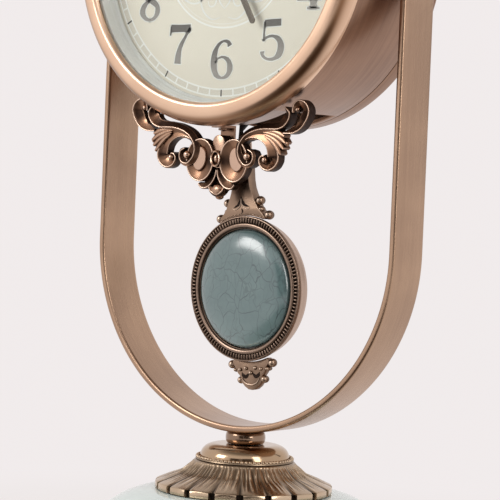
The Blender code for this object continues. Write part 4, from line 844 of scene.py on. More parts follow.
def prism(
    outline: Sequence[Point], front: float, back: float, edge: float = 0.15 * MM, lit: float = 0.0
) -> Solid:
    """Extrude an outline of the XZ plane, with a painted highlight on its softened front edges set by the
    share lit, and painted shade on its sides.
    """
    made = Solid()
    mesh = made.mesh
    low = [mesh.verts.new((x, back, z)) for x, z in outline]
    bottom = mesh.faces.new(low)
    high = [item for item in bmesh.ops.extrude_face_region(mesh, geom=[bottom])["geom"]
            if isinstance(item, bmesh.types.BMVert)]
    bmesh.ops.translate(mesh, vec=(0, front - back, 0), verts=high)
    rims = [line for line in mesh.edges if line.is_boundary]
    if rims:
        bmesh.ops.contextual_create(mesh, geom=rims)
    lines = [line for line in mesh.edges if abs(line.verts[0].co.y - line.verts[1].co.y) < 0.001 * MM]
    bmesh.ops.bevel(
        mesh, geom=lines, offset=edge, segments=2, profile=0.5, material=-1, affect="EDGES",
        clamp_overlap=True,
    )
    for vert in mesh.verts:
        vert[made.ridge] = lit if front + 0.001 * MM < vert.co.y < front + 0.8 * edge else 0.0
        vert[made.groove] = 0.25 if vert.co.y > front + edge else 0.0
    return made


class Casting:
    """A piece made of one or more closed bodies."""

    def __init__(self, *solids: Solid) -> None:
        """Start with the bodies that are given."""
        self.solids = list(solids)

    def add(self, *solids: Solid) -> None:
        """Take more bodies in."""
        self.solids.extend(solids)

    def move(self, matrix: Matrix) -> Casting:
        """Move every body."""
        for solid in self.solids:
            solid.move(matrix)
        return self

    def object(self, name: str, finish: Finish, angle: float = 35.0) -> bpy.types.Object:
        """Join the bodies, faces outwards, and put them in the scene as an object."""
        joined = bmesh.new()
        for solid in self.solids:
            bmesh.ops.recalc_face_normals(solid.mesh, faces=solid.mesh.faces[:])
            part = bpy.data.meshes.new("part")
            solid.mesh.to_mesh(part)
            solid.mesh.free()
            joined.from_mesh(part)
            bpy.data.meshes.remove(part)
        mesh = bpy.data.meshes.new(name)
        joined.to_mesh(mesh)
        joined.free()
        mesh.polygons.foreach_set("use_smooth", [True] * len(mesh.polygons))
        mesh.set_sharp_from_angle(angle=math.radians(angle))
        mesh.materials.append(finish.made())
        made = bpy.data.objects.new(name, mesh)
        bpy.context.scene.collection.objects.link(made)
        return made


def cut(made: bpy.types.Object, cutter: bpy.types.Object) -> None:
    """Cut one object out of another, and drop the cutter."""
    step = made.modifiers.new("cut", "BOOLEAN")
    step.operation = "DIFFERENCE"
    step.solver = "EXACT"
    step.object = cutter
    graph = bpy.context.evaluated_depsgraph_get()
    mesh = bpy.data.meshes.new_from_object(made.evaluated_get(graph))
    made.modifiers.clear()
    old = made.data
    made.data = mesh
    bpy.data.meshes.remove(old)
    bpy.data.objects.remove(cutter)


def settle(made: bpy.types.Object, body: str, *nodes: str) -> None:
    """Let a piece ride on its body, in the place of the nodes that it stands for."""
    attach(made, body)
    if nodes:
        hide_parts(*nodes)
    log.info("%s on %s, %d faces", made.name, body, len(made.data.polygons))


def raised(height: float) -> Matrix:
    """A move up by a height."""
    return Matrix.Translation((0, 0, height))


def shifted(x: float, z: float) -> Matrix:
    """A move in the XZ plane."""
    return Matrix.Translation((x, 0, z))


def swung() -> Matrix:
    """The pendulum's place: its pivot on the pin, swung as in the rest pose."""
    return raised(PIVOT_Z) @ Matrix.Rotation(-SWING, 4, "Y")


# Base


@dataclass
class Base:
    """The cast plinth and the glazed body."""

    plinth_z: float = 0.0023
    plinth_height: float = 16 * MM
    plinth_top: float = 75 * MM
    plinth_foot: float = 84 * MM
    plinth_rim: float = 16 * MM
    plinth_web: float = 6 * MM
    body_z: float = 0.0186
    body_height: float = 92 * MM
    body_top: float = 50 * MM
    body_girth: float = 95 * MM
    body_foot: float = 66 * MM
    shoulder: float = 42 * MM
    wall: float = 5 * MM
    steps: int = 192
    mouldings: Sequence[Point] = (
        (0, 1), (0, 0.8), (0.5, 0.72), (1.5, 0.62), (1.5, 0.46), (2.2, 0.4), (3, 0.28), (3, 0),
    )

    def build(self) -> None:
        """Make every piece of the base."""
        self.plinth()
        self.ceramic()

    def plinth(self) -> None:
        """A stepped foot with softened mouldings."""
        high, inner = self.plinth_height, self.plinth_foot - self.plinth_rim
        web = high - self.plinth_web
        step = (self.plinth_foot - self.plinth_top) / 3
        side = [(self.plinth_top + out * step, up * high) for out, up in self.mouldings]
        profile = [(TIE_HOLE, high), *side, (inner, 0), (inner, web), (TIE_HOLE, web)]
        made = Casting(turned(fillet(profile, 0.9 * MM), Axis.UP, self.steps)).move(raised(self.plinth_z))
        settle(made.object("plinth_casting", PALETTE.bronze), "clock", "base_plinth")

    def side(self, shrink: float, count: int) -> list[Point]:
        """The side of the body from its top to its foot, drawn in by shrink."""
        waist = self.body_height - self.shoulder
        points = []
        for angle in quarter(count):
            radius = self.body_top + (self.body_girth - shrink - self.body_top) * math.sin(angle)
            points.append((radius, waist + (self.shoulder - shrink) * math.cos(angle)))
        for angle in quarter(count)[1:-1]:
            radius = self.body_foot + (self.body_girth - self.body_foot) * math.cos(angle) - shrink
            points.append((radius, waist * (1 - math.sin(angle))))
        points.append((self.body_foot - shrink, 0))
        return points

    def ceramic(self) -> None:
        """The thrown body: a hollow shell with a rounded shoulder."""
        outer = [(TIE_HOLE, self.body_height), *self.side(0, 24)]
        inner = [(TIE_HOLE, self.body_height - self.wall), *self.side(self.wall, 8)]
        made = Casting(turned(outer + inner[::-1], Axis.UP, self.steps)).move(raised(self.body_z))
        settle(made.object("ceramic_shell", PALETTE.body), "clock", "ceramic_body")


# Flange


@dataclass
class Flange:
    """The cast flange on the body: a fluted skirt of lobes, a row of beads, a dome and a collar."""

    skirt_z: float = 0.1109
    skirt_height: float = 17.8 * MM
    skirt_radius: float = 52.3 * MM
    skirt_top: float = 29.6 * MM
    skirt_wall: float = 2.2 * MM
    rim: float = 4 * MM
    lobes: int = 20
    lobe_steps: int = 32
    flutes: int = 4
    flute: float = 0.75 * MM
    notch: float = 2.6 * MM
    notch_half: float = 0.11
    dome_z: float = 0.1290
    dome_height: float = 9.2 * MM
    dome_radius: float = 26.6 * MM
    bead_count: int = 72
    bead_radius: float = 1.1 * MM
    bead_ring: float = 28 * MM
    collar_z: float = 0.1385
    collar_height: float = 6.9 * MM
    collar_radius: float = 11.8 * MM
    bends: Sequence[Spot] = ((0.85, 5.3, 150.0), (0.6, 12.7, -310.0))
    bend: float = 1.3
    bulge: float = 0.9 * MM
    crease: float = 1.1 * MM
    fall: float = 0.32
    skin: float = 3.2 * MM

    def build(self) -> None:
        """Make every piece of the flange."""
        self.skirt()
        self.beads()
        self.dome()
        self.collar()

    def flutes_at(self, share: float, height: float, angle: float) -> tuple[float, float, float]:
        """How a point of the skirt's outer face moves out, with its painted highlight and its painted shade
        (partly patina).
        """
        turn = angle / math.tau * self.lobes
        lobe = round(turn)
        part = turn - lobe
        across = (part % 1.0) - 0.5
        gap = max(1 - abs(part) / self.notch_half, 0.0)
        if height < self.rim:
            cut_in = abs(part) < self.notch_half
            return (-self.notch if cut_in else 0.0), (0.0 if cut_in else 0.25), (1.0 if cut_in else 0.0)
        bend = sum(size * math.sin(around * turn + up * height) for size, around, up in self.bends)
        phase = math.tau * self.flutes * across + self.bend * bend
        wave = math.cos(phase)
        fold = (1 - abs(math.sin(phase / 2))) ** 1.4
        deep = math.sin(math.pi * min(share * 1.15, 1.0) ** 0.8) ** 0.6
        bulge = self.bulge * share ** 2 * (1 - (2 * abs(across)) ** 2.4)
        fall = self.bulge * share ** 2
        out = self.flute * deep * (1.5 * fold - 1) + bulge - fall - self.crease * share * gap ** 0.5
        # Painted highlight on the crests of the folds; painted shade in the furrows and the notches.
        ridge = fold ** 3 * deep * (0.75 + 0.25 * math.sin(3.1 * turn))
        furrow = max(-wave, 0.0) ** 1.8 * deep * (0.7 + 0.3 * math.sin(2.3 * turn + 1))
        return out, ridge, max(furrow, gap * share ** 0.5)

    def skirt(self) -> None:
        """A flaring skirt with crinkled flutes on each lobe, and a square notch between lobes at the rim."""
        high, low, top = self.skirt_height, self.skirt_radius, self.skirt_top
        guide = Path([
            *beside(top, high, (0, -0.6), (1.6, -2.4), (3.9, -4.4), (8, -7.7), (14.6, -10.3)),
            *beside(low, self.rim, (-1.2, 0.7), (-0.1, 0.1)),
        ], 1.0)
        outer = [tuple(guide.at(i / 26)) for i in range(27)]
        outer += [(low, self.rim - 0.3 * MM), (low, self.rim / 2), (low, 0.5 * MM), (low - 0.5 * MM, 0)]
        wall = high - self.skirt_wall
        inner = [(low - self.skirt_wall, 0), (top + 6 * MM, high * 0.42), (top - 4 * MM, wall)]
        profile = [(TIE_HOLE, high), (top - 0.8 * MM, high), *outer, *inner, (TIE_HOLE, wall)]

        def change(point: Vector) -> Placed:
            radius = math.hypot(point.x, point.y)
            middle = high - 7.7 * MM - (radius - top - 8 * MM) * self.fall - self.skin
            outside = radius > low - self.skirt_wall / 2 or (radius > top + 0.4 * MM and point.z > middle)
            # Inner faces and the foot take an even painted shade.
            if not outside or point.z < 0.2 * MM:
                return point, 0.0, 0.3
            share = min(max((radius - top) / (low - top), 0.0), 1.0)
            out, ridge, groove = self.flutes_at(share, point.z, math.atan2(point.y, point.x))
            grown = 1 + out / radius
            return Vector((point.x * grown, point.y * grown, point.z)), ridge, groove

        skirt = turned(profile, Axis.UP, self.lobes * self.lobe_steps).warp(change)
        made = Casting(skirt).move(raised(self.skirt_z))
        settle(made.object("skirt_casting", PALETTE.bronze, 60), "clock", "lotus_skirt")

    def beads(self) -> None:
        """Round beads side by side on a low ring."""
        radius, ring = self.bead_radius, self.bead_ring
        bed = [(ring + out * radius, up * radius) for out, up in ((-1, 0), (1, 0), (0.7, 0.8), (-0.7, 0.8))]
        # The ring under the beads takes an even painted shade.
        made = Casting(turned(bed, Axis.UP, 128).tone(0.4))
        one = Solid()
        bmesh.ops.create_uvsphere(one.mesh, u_segments=12, v_segments=8, radius=radius)
        # Painted highlight on each bead's top, painted shade under it.
        for vert in one.mesh.verts:
            up = vert.co.z / radius
            vert[one.ridge] = 0.8 * max(up, 0.0) ** 2
            vert[one.groove] = 0.6 * max(-up, 0.0)
        for i in range(self.bead_count):
            angle = math.tau * i / self.bead_count
            made.add(one.copy(Matrix.Translation((ring * math.cos(angle), ring * math.sin(angle), radius))))
        one.mesh.free()
        made.move(raised(self.dome_z))
        settle(made.object("bead_row", PALETTE.bronze), "clock", "bead_ring")

    def dome(self) -> None:
        """A smooth bell with a flat top."""
        high, wide = self.dome_height, self.dome_radius
        flat = 0.62 * wide
        angles = quarter(24)[1:-1]
        side = [(flat + (wide - flat) * math.sin(a) ** 0.9, high * math.cos(a) ** 0.85) for a in angles]
        profile = [(TIE_HOLE, high), (flat, high), *side, (wide, 0), (TIE_HOLE, 0)]
        made = Casting(turned(profile, Axis.UP, 192)).move(raised(self.dome_z))
        settle(made.object("polished_dome", PALETTE.dome), "clock", "flange_dome")

    def collar(self) -> None:
        """A short round collar under the frame."""
        high, wide = self.collar_height, self.collar_radius
        angles = [math.pi / 2 - math.pi * i / 16 for i in range(17)]
        side = [(wide * (0.88 + 0.12 * math.cos(a)), high * (0.5 + 0.5 * math.sin(a))) for a in angles]
        profile = [(TIE_HOLE, high), *side, (TIE_HOLE, 0)]
        made = Casting(turned(profile, Axis.UP, 128)).move(raised(self.collar_z))
        settle(made.object("round_collar", PALETTE.collar), "clock", "neck_collar")


# Frame


@dataclass
class Frame:
    """The flat bar bent into a U, with a knob, stud and spacer at the top of each arm."""

    radius: float = 110 * MM
    thickness: float = 4.2 * MM
    depth: float = 29 * MM
    edge: float = 1.9 * MM
    straight: float = 185.9 * MM
    spans: int = 420
    knob_radius: float = 8 * MM
    knob_length: float = 13 * MM
    spacer_radius: float = 7 * MM
    drum_radius: float = 101.4 * MM
    stud: float = 2.5 * MM
    stud_end: float = 93.4 * MM
    end_share: float = 0.06
    knob_ball: Sequence[Point] = ((0, 0), (0.5, 0.5), (0.88, 2.2), (1, 5), (0.88, 7.8), (0.6, 9.6))
    knob_base: Sequence[Point] = ((0.6, 1.8), (0.95, 1.4), (0.95, 0))

    def build(self) -> None:
        """Make every piece of the frame."""
        self.bar()
        for side, name in ((1, "right"), (-1, "left")):
            self.fixing(side, name)

    def station(self, u: float) -> tuple[Vector, Vector, float]:
        """The bar's middle at a share of its length, the way outwards, and the share of its depth there."""
        bend = self.radius - self.thickness / 2
        round_end = self.depth / 2
        arc_length = math.pi * bend
        total = 2 * self.straight + arc_length
        share = self.end_share
        if u < share:
            s = round_end * (1 - math.cos(u / share * math.pi / 2))
        elif u > 1 - share:
            s = total - round_end * (1 - math.cos((1 - u) / share * math.pi / 2))
        else:
            s = round_end + (total - 2 * round_end) * (u - share) / (1 - 2 * share)
        near = min(s, total - s)
        wide = 1.0
        if near < round_end:
            wide = max(math.sqrt(max(1 - (1 - near / round_end) ** 2, 0.0)), 0.03)
        if s < self.straight:
            return Vector((bend, 0, self.straight - s)), Vector((1, 0, 0)), wide
        if s > self.straight + arc_length:
            return Vector((-bend, 0, s - self.straight - arc_length)), Vector((-1, 0, 0)), wide
        angle = (s - self.straight) / bend
        out = Vector((math.cos(angle), 0, -math.sin(angle)))
        return out * bend, out, wide

    def bar(self) -> None:
        """The bar, swept with its rounded section along the U."""
        half_out, half_depth = self.thickness / 2, self.depth / 2
        signs = ((1, -1), (1, 1), (-1, 1), (-1, -1))
        section = fillet([(x * half_out, y * half_depth) for x, y in signs], self.edge, count=7)
        count = len(section)

        def place(u: float, v: float) -> Placed:
            middle, out, wide = self.station(u)
            reach, y = section[round(v * count) % count]
            edge = 1.0 if abs(y) > half_depth - 0.75 * self.edge else 0.0
            return middle + out * reach + Vector((0, y * wide, 0)), edge, 0.0

        made = Casting(sheet(self.spans, count, place)).move(raised(ARC_Z))
        settle(made.object("bent_bar", PALETTE.frame), "clock", "u_frame")

    def fixing(self, side: int, name: str) -> None:
        """A turned knob with its stud, and the spacer between arm and drum."""
        out, wide = self.radius + SEAT, self.knob_radius
        end = out + self.knob_length
        knob = [
            *((wide * share, end - down * MM) for share, down in self.knob_ball),
            *((wide * share, out + up * MM) for share, up in self.knob_base),
            (self.stud, out), (self.stud, self.stud_end), (0, self.stud_end),
        ]
        rounded = [(r, side * h) for r, h in fillet(knob, 2 * MM, closed=False, count=6)]
        made = Casting(turned(rounded, Axis.SIDE, 96, closed=False)).move(raised(DRUM_Z))
        settle(made.object(f"turned_knob_{name}", PALETTE.dome), "clock", f"side_knob_{name}")
        arm, wall = self.radius - self.thickness - SEAT, self.drum_radius + SEAT
        bore, wide = self.stud + SEAT, self.spacer_radius
        ring = [(bore, arm), (wide, arm), (wide, wall), (bore, wall)]
        soft = [(r, side * h) for r, h in fillet(ring, 0.4 * MM)]
        made = Casting(turned(soft, Axis.SIDE, 64)).move(raised(DRUM_Z))
        settle(made.object(f"turned_spacer_{name}", PALETTE.dome), "clock", f"side_spacer_{name}")


# Drum


@dataclass
class Drum:
    """The drum with its bezel, glass, reflector, dial plate and back cover."""

    radius: float = 101.4 * MM
    wall: float = 1.5 * MM
    front: float = -44 * MM
    back: float = 23.5 * MM
    flange: float = 11.4 * MM
    ledge: float = 17.4 * MM
    slot_half: float = 40 * MM
    slot_front: float = -25 * MM
    slot_back: float = 15 * MM
    lip_wall: float = 1.1 * MM
    lip_length: float = 2 * MM
    bezel_radius: float = 98.8 * MM
    opening: float = 89.6 * MM
    bezel_rise: float = 9.1 * MM
    patina_out: float = 1.0 * MM
    patina_width: float = 1.9 * MM
    glass_radius: float = 91.3 * MM
    glass_thickness: float = 2 * MM
    reflector_inner: float = 87 * MM
    dial_face: float = -36.1 * MM
    dial_thickness: float = 1.2 * MM
    bush: float = 4.5 * MM
    cover_depth: float = 12.7 * MM
    cover_opening: float = 45 * MM
    steps: int = 320

    @property
    def glass_back(self) -> float:
        """Y of the glass's back, where it seats in the bezel."""
        return self.front - SEAT - 0.44 * self.bezel_rise

    def build(self) -> None:
        """Make every piece of the drum."""
        self.shell()
        self.bezel()
        self.glass()
        self.reflector()
        self.dial()
        self.cover()

    def ring(
        self, name: str, points: Sequence[Point], finish: Finish, closed: bool = True
    ) -> bpy.types.Object:
        """Turn a profile of (radius, y) round the drum's axis."""
        made = Casting(turned(points, Axis.FRONT, self.steps, closed)).move(raised(DRUM_Z))
        return made.object(name, finish)

    def shell(self) -> None:
        """The spun tube with its ledge, rear flange and slot."""
        outer, back, wall = self.radius, self.back, self.wall
        inner, flange, shelf = outer - wall, outer - self.flange, outer - self.ledge
        ledge = self.dial_face + self.dial_thickness + SEAT
        profile = [
            (outer, self.front), (outer, back), (flange, back), (flange, back - wall), (inner, back - wall),
            (inner, ledge + wall), (shelf, ledge + wall), (shelf, ledge), (inner, ledge), (inner, self.front),
        ]
        made = self.ring("drum_tube", fillet(profile, 0.5 * MM), PALETTE.drum)
        block = Solid()
        near, far = self.slot_front, self.slot_back
        size = Matrix.Diagonal((2 * self.slot_half, far - near, 0.34 * self.radius, 1))
        place = Matrix.Translation((0, (near + far) / 2, DRUM_Z - self.radius * 0.85))
        bmesh.ops.create_cube(block.mesh, size=1.0, matrix=place @ size)
        cut(made, Casting(block).object("slot_block", PALETTE.drum))
        settle(made, "clock", "drum_shell")

    def bezel(self) -> None:
        """The smooth front ring, its outer flank running into a thin lip over the drum, with a band of
        painted shade (partly patina) on the flank.
        """
        lip = self.radius + SEAT
        outer, seat = lip + self.lip_wall, self.front - SEAT
        rise, wide, opening = self.bezel_rise, self.bezel_radius, self.opening
        glass_front = self.glass_back - self.glass_thickness - SEAT
        crest, top = opening + 2.8 * MM, seat - rise
        roll = [
            (crest - (crest - opening) * math.cos(a), glass_front - (glass_front - top) * math.sin(a))
            for a in quarter(16)[:-1]
        ]
        flank = Path([
            *beside(crest, top, (0, 0), (3.2, 0.25)), *beside(wide, top, (-0.5, 1.2), (1.7, 3.4)),
            *beside(outer, top, (-0.7, 6.6)), (outer, seat),
        ], 1.0)
        roll += [tuple(flank.at(i / 40)) for i in range(41)]
        lip_end, bore = self.front + self.lip_length, self.glass_radius + SEAT
        foot = [(outer, lip_end), (lip, lip_end), (lip, seat), (bore, seat), (bore, glass_front)]
        profile = roll + fillet(foot, 0.2 * MM, closed=False)

        # Painted shade, partly patina: a dark band round the outer flank.
        def change(point: Vector) -> Placed:
            reach = math.hypot(point.x, point.z) - wide - self.patina_out
            return point, 0.0, bell(reach, self.patina_width) if point.y < seat - 0.5 * MM else 0.0

        made = Casting(turned(profile, Axis.FRONT, 384).warp(change)).move(raised(DRUM_Z))
        settle(made.object("bezel_ring", PALETTE.bezel, 60), "clock", "bezel")

    def glass(self) -> None:
        """A flat disc of clear glass."""
        back = self.glass_back
        front = back - self.glass_thickness
        profile = [(0, front), (self.glass_radius, front), (self.glass_radius, back), (0, back)]
        made = self.ring("glass_disc", fillet(profile, 0.3 * MM, closed=False), PALETTE.glass, closed=False)
        settle(made, "clock", "dial_glass")

    def reflector(self) -> None:
        """The sloping ring between glass and dial, with a step in its slope."""
        foot, top = self.dial_face - SEAT, self.glass_back + SEAT
        inner, wide = self.reflector_inner, self.opening - 0.4 * MM
        middle = (inner + wide) / 2
        profile = [
            (wide, top), (self.glass_radius, top), (self.glass_radius, self.front - SEAT),
            *beside(inner, foot, (2.5, 0), (0, 0), (0.2, -1.6)),
            *beside(middle, foot, (0.2, -2.4), (0.3, -5.2)),
            *beside(wide, foot, (-0.3, -6)),
        ]
        made = self.ring("reflector_slope", fillet(profile, 0.3 * MM), PALETTE.reflector)
        settle(made, "clock", "reflector_ring")

    def dial(self) -> None:
        """The dial plate, printed by its finish."""
        edge, back = self.radius - self.wall - SEAT, self.dial_face + self.dial_thickness
        profile = [(self.bush, self.dial_face), (edge, self.dial_face), (edge, back), (self.bush, back)]
        settle(self.ring("dial_plate", profile, PALETTE.dial), "clock", "dial")

    def cover(self) -> None:
        """The pressed back pan with its round opening and a shallow groove."""
        outer, front, back = self.radius, self.back + SEAT, self.back + SEAT + self.cover_depth
        inner, wall, hole = outer - self.wall, self.wall, self.cover_opening
        rim = ((0, -2.4), (-0.8, -0.8), (-2.4, 0), (-14, 0), (-15, -0.5), (-17, -0.5), (-18, 0))
        profile = [
            (outer, front), *beside(outer, back, *rim), *beside(hole, back, (6, 0), (4.5, -0.6), (0, -0.6)),
            *beside(hole, back - wall, (0, -0.6), (6, -0.4)), *beside(inner, back - wall, (-2.4, 0)),
            *beside(inner, back, (0, -4)), (inner, front),
        ]
        settle(self.ring("cover_pan", fillet(profile, 0.5 * MM), PALETTE.drum), "clock", "back_cover")


# Dial print


Stroke = tuple[Sequence[Point], Sequence[float]]

# Middle lines and widths of each digit's strokes, as shares of its height

ZERO: list[Stroke] = [(
    [(0, 0.985), (-0.16, 0.88), (-0.235, 0.62), (-0.235, 0.38), (-0.16, 0.12), (0, 0.015),
     (0.16, 0.12), (0.235, 0.38), (0.235, 0.62), (0.16, 0.88), (0, 0.985)],
    (0.035, 0.08, 0.14, 0.14, 0.08, 0.035, 0.08, 0.14, 0.14, 0.08, 0.035),
)]
ONE: list[Stroke] = [
    ([(0, 0.99), (0, 0.5), (0, 0.01)], (0.13, 0.13, 0.13)),
    ([(-0.17, 0.8), (-0.1, 0.86), (0.02, 0.975)], (0.03, 0.04, 0.06)),
    ([(-0.17, 0.015), (0, 0.02), (0.17, 0.015)], (0.03, 0.05, 0.03)),
]
TWO: list[Stroke] = [
    ([(-0.23, 0.7), (-0.23, 0.85), (-0.1, 0.96), (0.08, 0.96), (0.2, 0.84), (0.19, 0.66), (0.06, 0.46),
      (-0.12, 0.26), (-0.26, 0.06)], (0.1, 0.07, 0.05, 0.06, 0.12, 0.14, 0.11, 0.06, 0.03)),
    ([(-0.27, 0.065), (0, 0.065), (0.26, 0.065)], (0.13, 0.13, 0.12)),
    ([(0.25, 0.05), (0.27, 0.12), (0.28, 0.22)], (0.05, 0.035, 0.03)),
]
THREE: list[Stroke] = [
    ([(-0.22, 0.78), (-0.18, 0.9), (-0.04, 0.97), (0.12, 0.93), (0.19, 0.79), (0.14, 0.63), (-0.03, 0.54)],
     (0.09, 0.06, 0.04, 0.08, 0.13, 0.09, 0.03)),
    ([(-0.03, 0.54), (0.15, 0.47), (0.22, 0.3), (0.16, 0.11), (0, 0.025), (-0.17, 0.06), (-0.24, 0.2)],
     (0.03, 0.09, 0.14, 0.11, 0.04, 0.06, 0.1)),
]
FOUR: list[Stroke] = [
    ([(0.1, 0.98), (-0.1, 0.62), (-0.29, 0.28)], (0.05, 0.045, 0.04)),
    ([(-0.31, 0.265), (0, 0.265), (0.3, 0.265)], (0.075, 0.075, 0.075)),
    ([(0.11, 0.99), (0.11, 0.5), (0.11, 0.01)], (0.14, 0.14, 0.14)),
    ([(-0.05, 0.018), (0.11, 0.024), (0.27, 0.018)], (0.035, 0.05, 0.035)),
]
FIVE: list[Stroke] = [
    ([(-0.2, 0.925), (0, 0.935), (0.22, 0.945)], (0.12, 0.125, 0.12)),
    ([(-0.205, 0.96), (-0.215, 0.74), (-0.225, 0.5)], (0.045, 0.04, 0.04)),
    ([(-0.23, 0.49), (-0.13, 0.575), (0.02, 0.6), (0.17, 0.52), (0.235, 0.35), (0.2, 0.16), (0.06, 0.035),
      (-0.12, 0.03), (-0.24, 0.12), (-0.25, 0.22)], (0.03, 0.045, 0.05, 0.1, 0.14, 0.13, 0.06, 0.045, 0.06,
      0.1)),
]
SIX: list[Stroke] = [
    ([(0.19, 0.84), (0.14, 0.94), (0, 0.96), (-0.14, 0.84), (-0.22, 0.62), (-0.235, 0.36), (-0.17, 0.12),
      (-0.01, 0.02), (0.15, 0.09), (0.215, 0.28), (0.16, 0.47), (0, 0.56), (-0.14, 0.5), (-0.2, 0.4)],
     (0.11, 0.07, 0.04, 0.07, 0.12, 0.14, 0.11, 0.04, 0.08, 0.13, 0.09, 0.04, 0.03, 0.03)),
]
SEVEN: list[Stroke] = [
    ([(-0.27, 0.925), (0, 0.925), (0.27, 0.925)], (0.14, 0.13, 0.14)),
    ([(-0.275, 0.98), (-0.28, 0.86), (-0.29, 0.74)], (0.03, 0.035, 0.03)),
    ([(0.26, 0.93), (0.13, 0.7), (0, 0.44), (-0.05, 0.2), (-0.06, 0.01)], (0.05, 0.06, 0.09, 0.13, 0.15)),
]
EIGHT: list[Stroke] = [
    ([(0, 0.98), (-0.13, 0.9), (-0.17, 0.77), (-0.1, 0.62), (0.05, 0.52), (0.19, 0.4), (0.215, 0.24),
      (0.13, 0.08), (0, 0.02)], (0.04, 0.08, 0.11, 0.12, 0.11, 0.1, 0.11, 0.07, 0.04)),
    ([(0, 0.02), (-0.13, 0.08), (-0.215, 0.22), (-0.18, 0.38), (-0.04, 0.53), (0.11, 0.64), (0.16, 0.77),
      (0.11, 0.91), (0, 0.98)], (0.04, 0.08, 0.13, 0.11, 0.05, 0.05, 0.08, 0.07, 0.04)),
]
NINE: list[Stroke] = [([(-x, 1 - z) for x, z in points], widths) for points, widths in SIX]
DIGITS = (ZERO, ONE, TWO, THREE, FOUR, FIVE, SIX, SEVEN, EIGHT, NINE)

# Middle lines and widths of one field's scrolls, in millimetres from the dial's middle

SCROLLS: list[Stroke] = [
    ([(3, 40), (9, 41), (15, 37), (17.5, 31), (14.5, 26), (9, 25.5), (6.2, 29), (7.6, 33), (11, 33.4),
      (12.4, 30.6)], (0.4, 1.1, 1.2, 1.0, 1.1, 0.9, 0.5)),
    ([(0, 22), (4.5, 26), (3.6, 31), (0, 35)], (0.4, 1.2, 1.0, 0.4)),
    ([(0, 12), (5, 15), (9, 20), (15, 21.5), (19, 18)], (0.4, 1.1, 0.7, 0.4)),
]


@dataclass
class DialArt:
    """The numerals with their pale outlines, and the scrolls of the middle medallion."""

    ring: float = 64 * MM
    height: float = 22.5 * MM
    stretch: float = 1.2
    bold: float = 1.2
    pair_squeeze: float = 0.66
    outline: float = 0.62 * MM
    face: float = -36.1 * MM
    layer: float = 0.06 * MM
    spans: int = 28
    nudges: dict[int, Point] = field(default_factory=lambda: {4: (5.0, 6.8), 5: (3.5, 2.0), 8: (-1.0, 2.0)})

    def build(self) -> None:
        """Make the numerals, their outlines and the medallion's scrolls."""
        ink, pale = Casting(), Casting()
        for hour in range(1, 13):
            angle = math.tau * hour / 12
            middle = self.ring * math.sin(angle), self.ring * math.cos(angle) - self.height / 2
            (x, z), = beside(*middle, self.nudges.get(hour, (0.0, 0.0)))
            ink.add(*self.numeral(hour, x, z, 0.0, 2))
            pale.add(*self.numeral(hour, x, z, self.outline, 1))
        settle(ink.move(raised(DRUM_Z)).object("numerals", PALETTE.ink), "clock")
        settle(pale.move(raised(DRUM_Z)).object("numeral_outlines", PALETTE.white), "clock")
        self.medallion()

    def numeral(self, hour: int, x: float, z: float, grow: float, layer: int) -> list[Solid]:
        """The strokes of one numeral, widened by grow on each side."""
        made = []
        digits = [int(c) for c in str(hour)]
        squeeze = self.stretch * (1.0 if len(digits) == 1 else self.pair_squeeze)
        high = self.height
        for place, digit in enumerate(digits):
            left = x + (place - (len(digits) - 1) / 2) * high * 0.5
            for points, widths in DIGITS[digit]:
                drawn = [(left + right * squeeze * high, z + up * high) for right, up in points]
                wide = [w * self.bold * squeeze * high + 2 * grow for w in widths]
                made.append(self.stroke(drawn, wide, grow, layer, z))
        return made

    def stroke(
        self, drawn: Sequence[Point], wide: Sequence[float], grow: float, layer: int, foot: float
    ) -> Solid:
        """One thin raised stroke, a little longer at both ends where it has grown."""
        path = Path(drawn, 1.0)
        spans = self.spans if len(drawn) > 3 else 6
        top = self.face - layer * self.layer

        def place(u: float, v: float) -> Placed:
            row = round(v * 4) % 4
            side = 0.5 if row in (1, 2) else -0.5
            y = top if row < 2 else self.face + 0.02 * MM
            end = 0.0
            if grow and u in (0.0, 1.0):
                end = grow if u == 1.0 else -grow
            along = path.normal(u)
            flat = path.at(u) + along * spread(wide, u) * side + Vector((along.y, -along.x)) * end
            return Vector((flat.x, y, flat.y)), 0.0, 0.0

        made = sheet(spans, 4, place)
        for vert in made.mesh.verts:
            vert[made.fade] = min(max((vert.co.z - foot) / self.height, 0.0), 1.0)
        return made

    def medallion(self) -> None:
        """Thin scrolls in six fields round the middle."""
        casting = Casting()
        for field_number in range(6):
            turn = Matrix.Rotation(math.tau * field_number / 6, 4, "Y")
            for mirror in (1, -1):
                for points, widths in SCROLLS:
                    drawn = beside(0, 0, *((mirror * right, up) for right, up in points))
                    casting.add(self.stroke(drawn, [w * MM for w in widths], 0.0, 1, 0.0).move(turn))
        settle(casting.move(raised(DRUM_Z)).object("medallion_scrolls", PALETTE.white), "clock")


# Hands


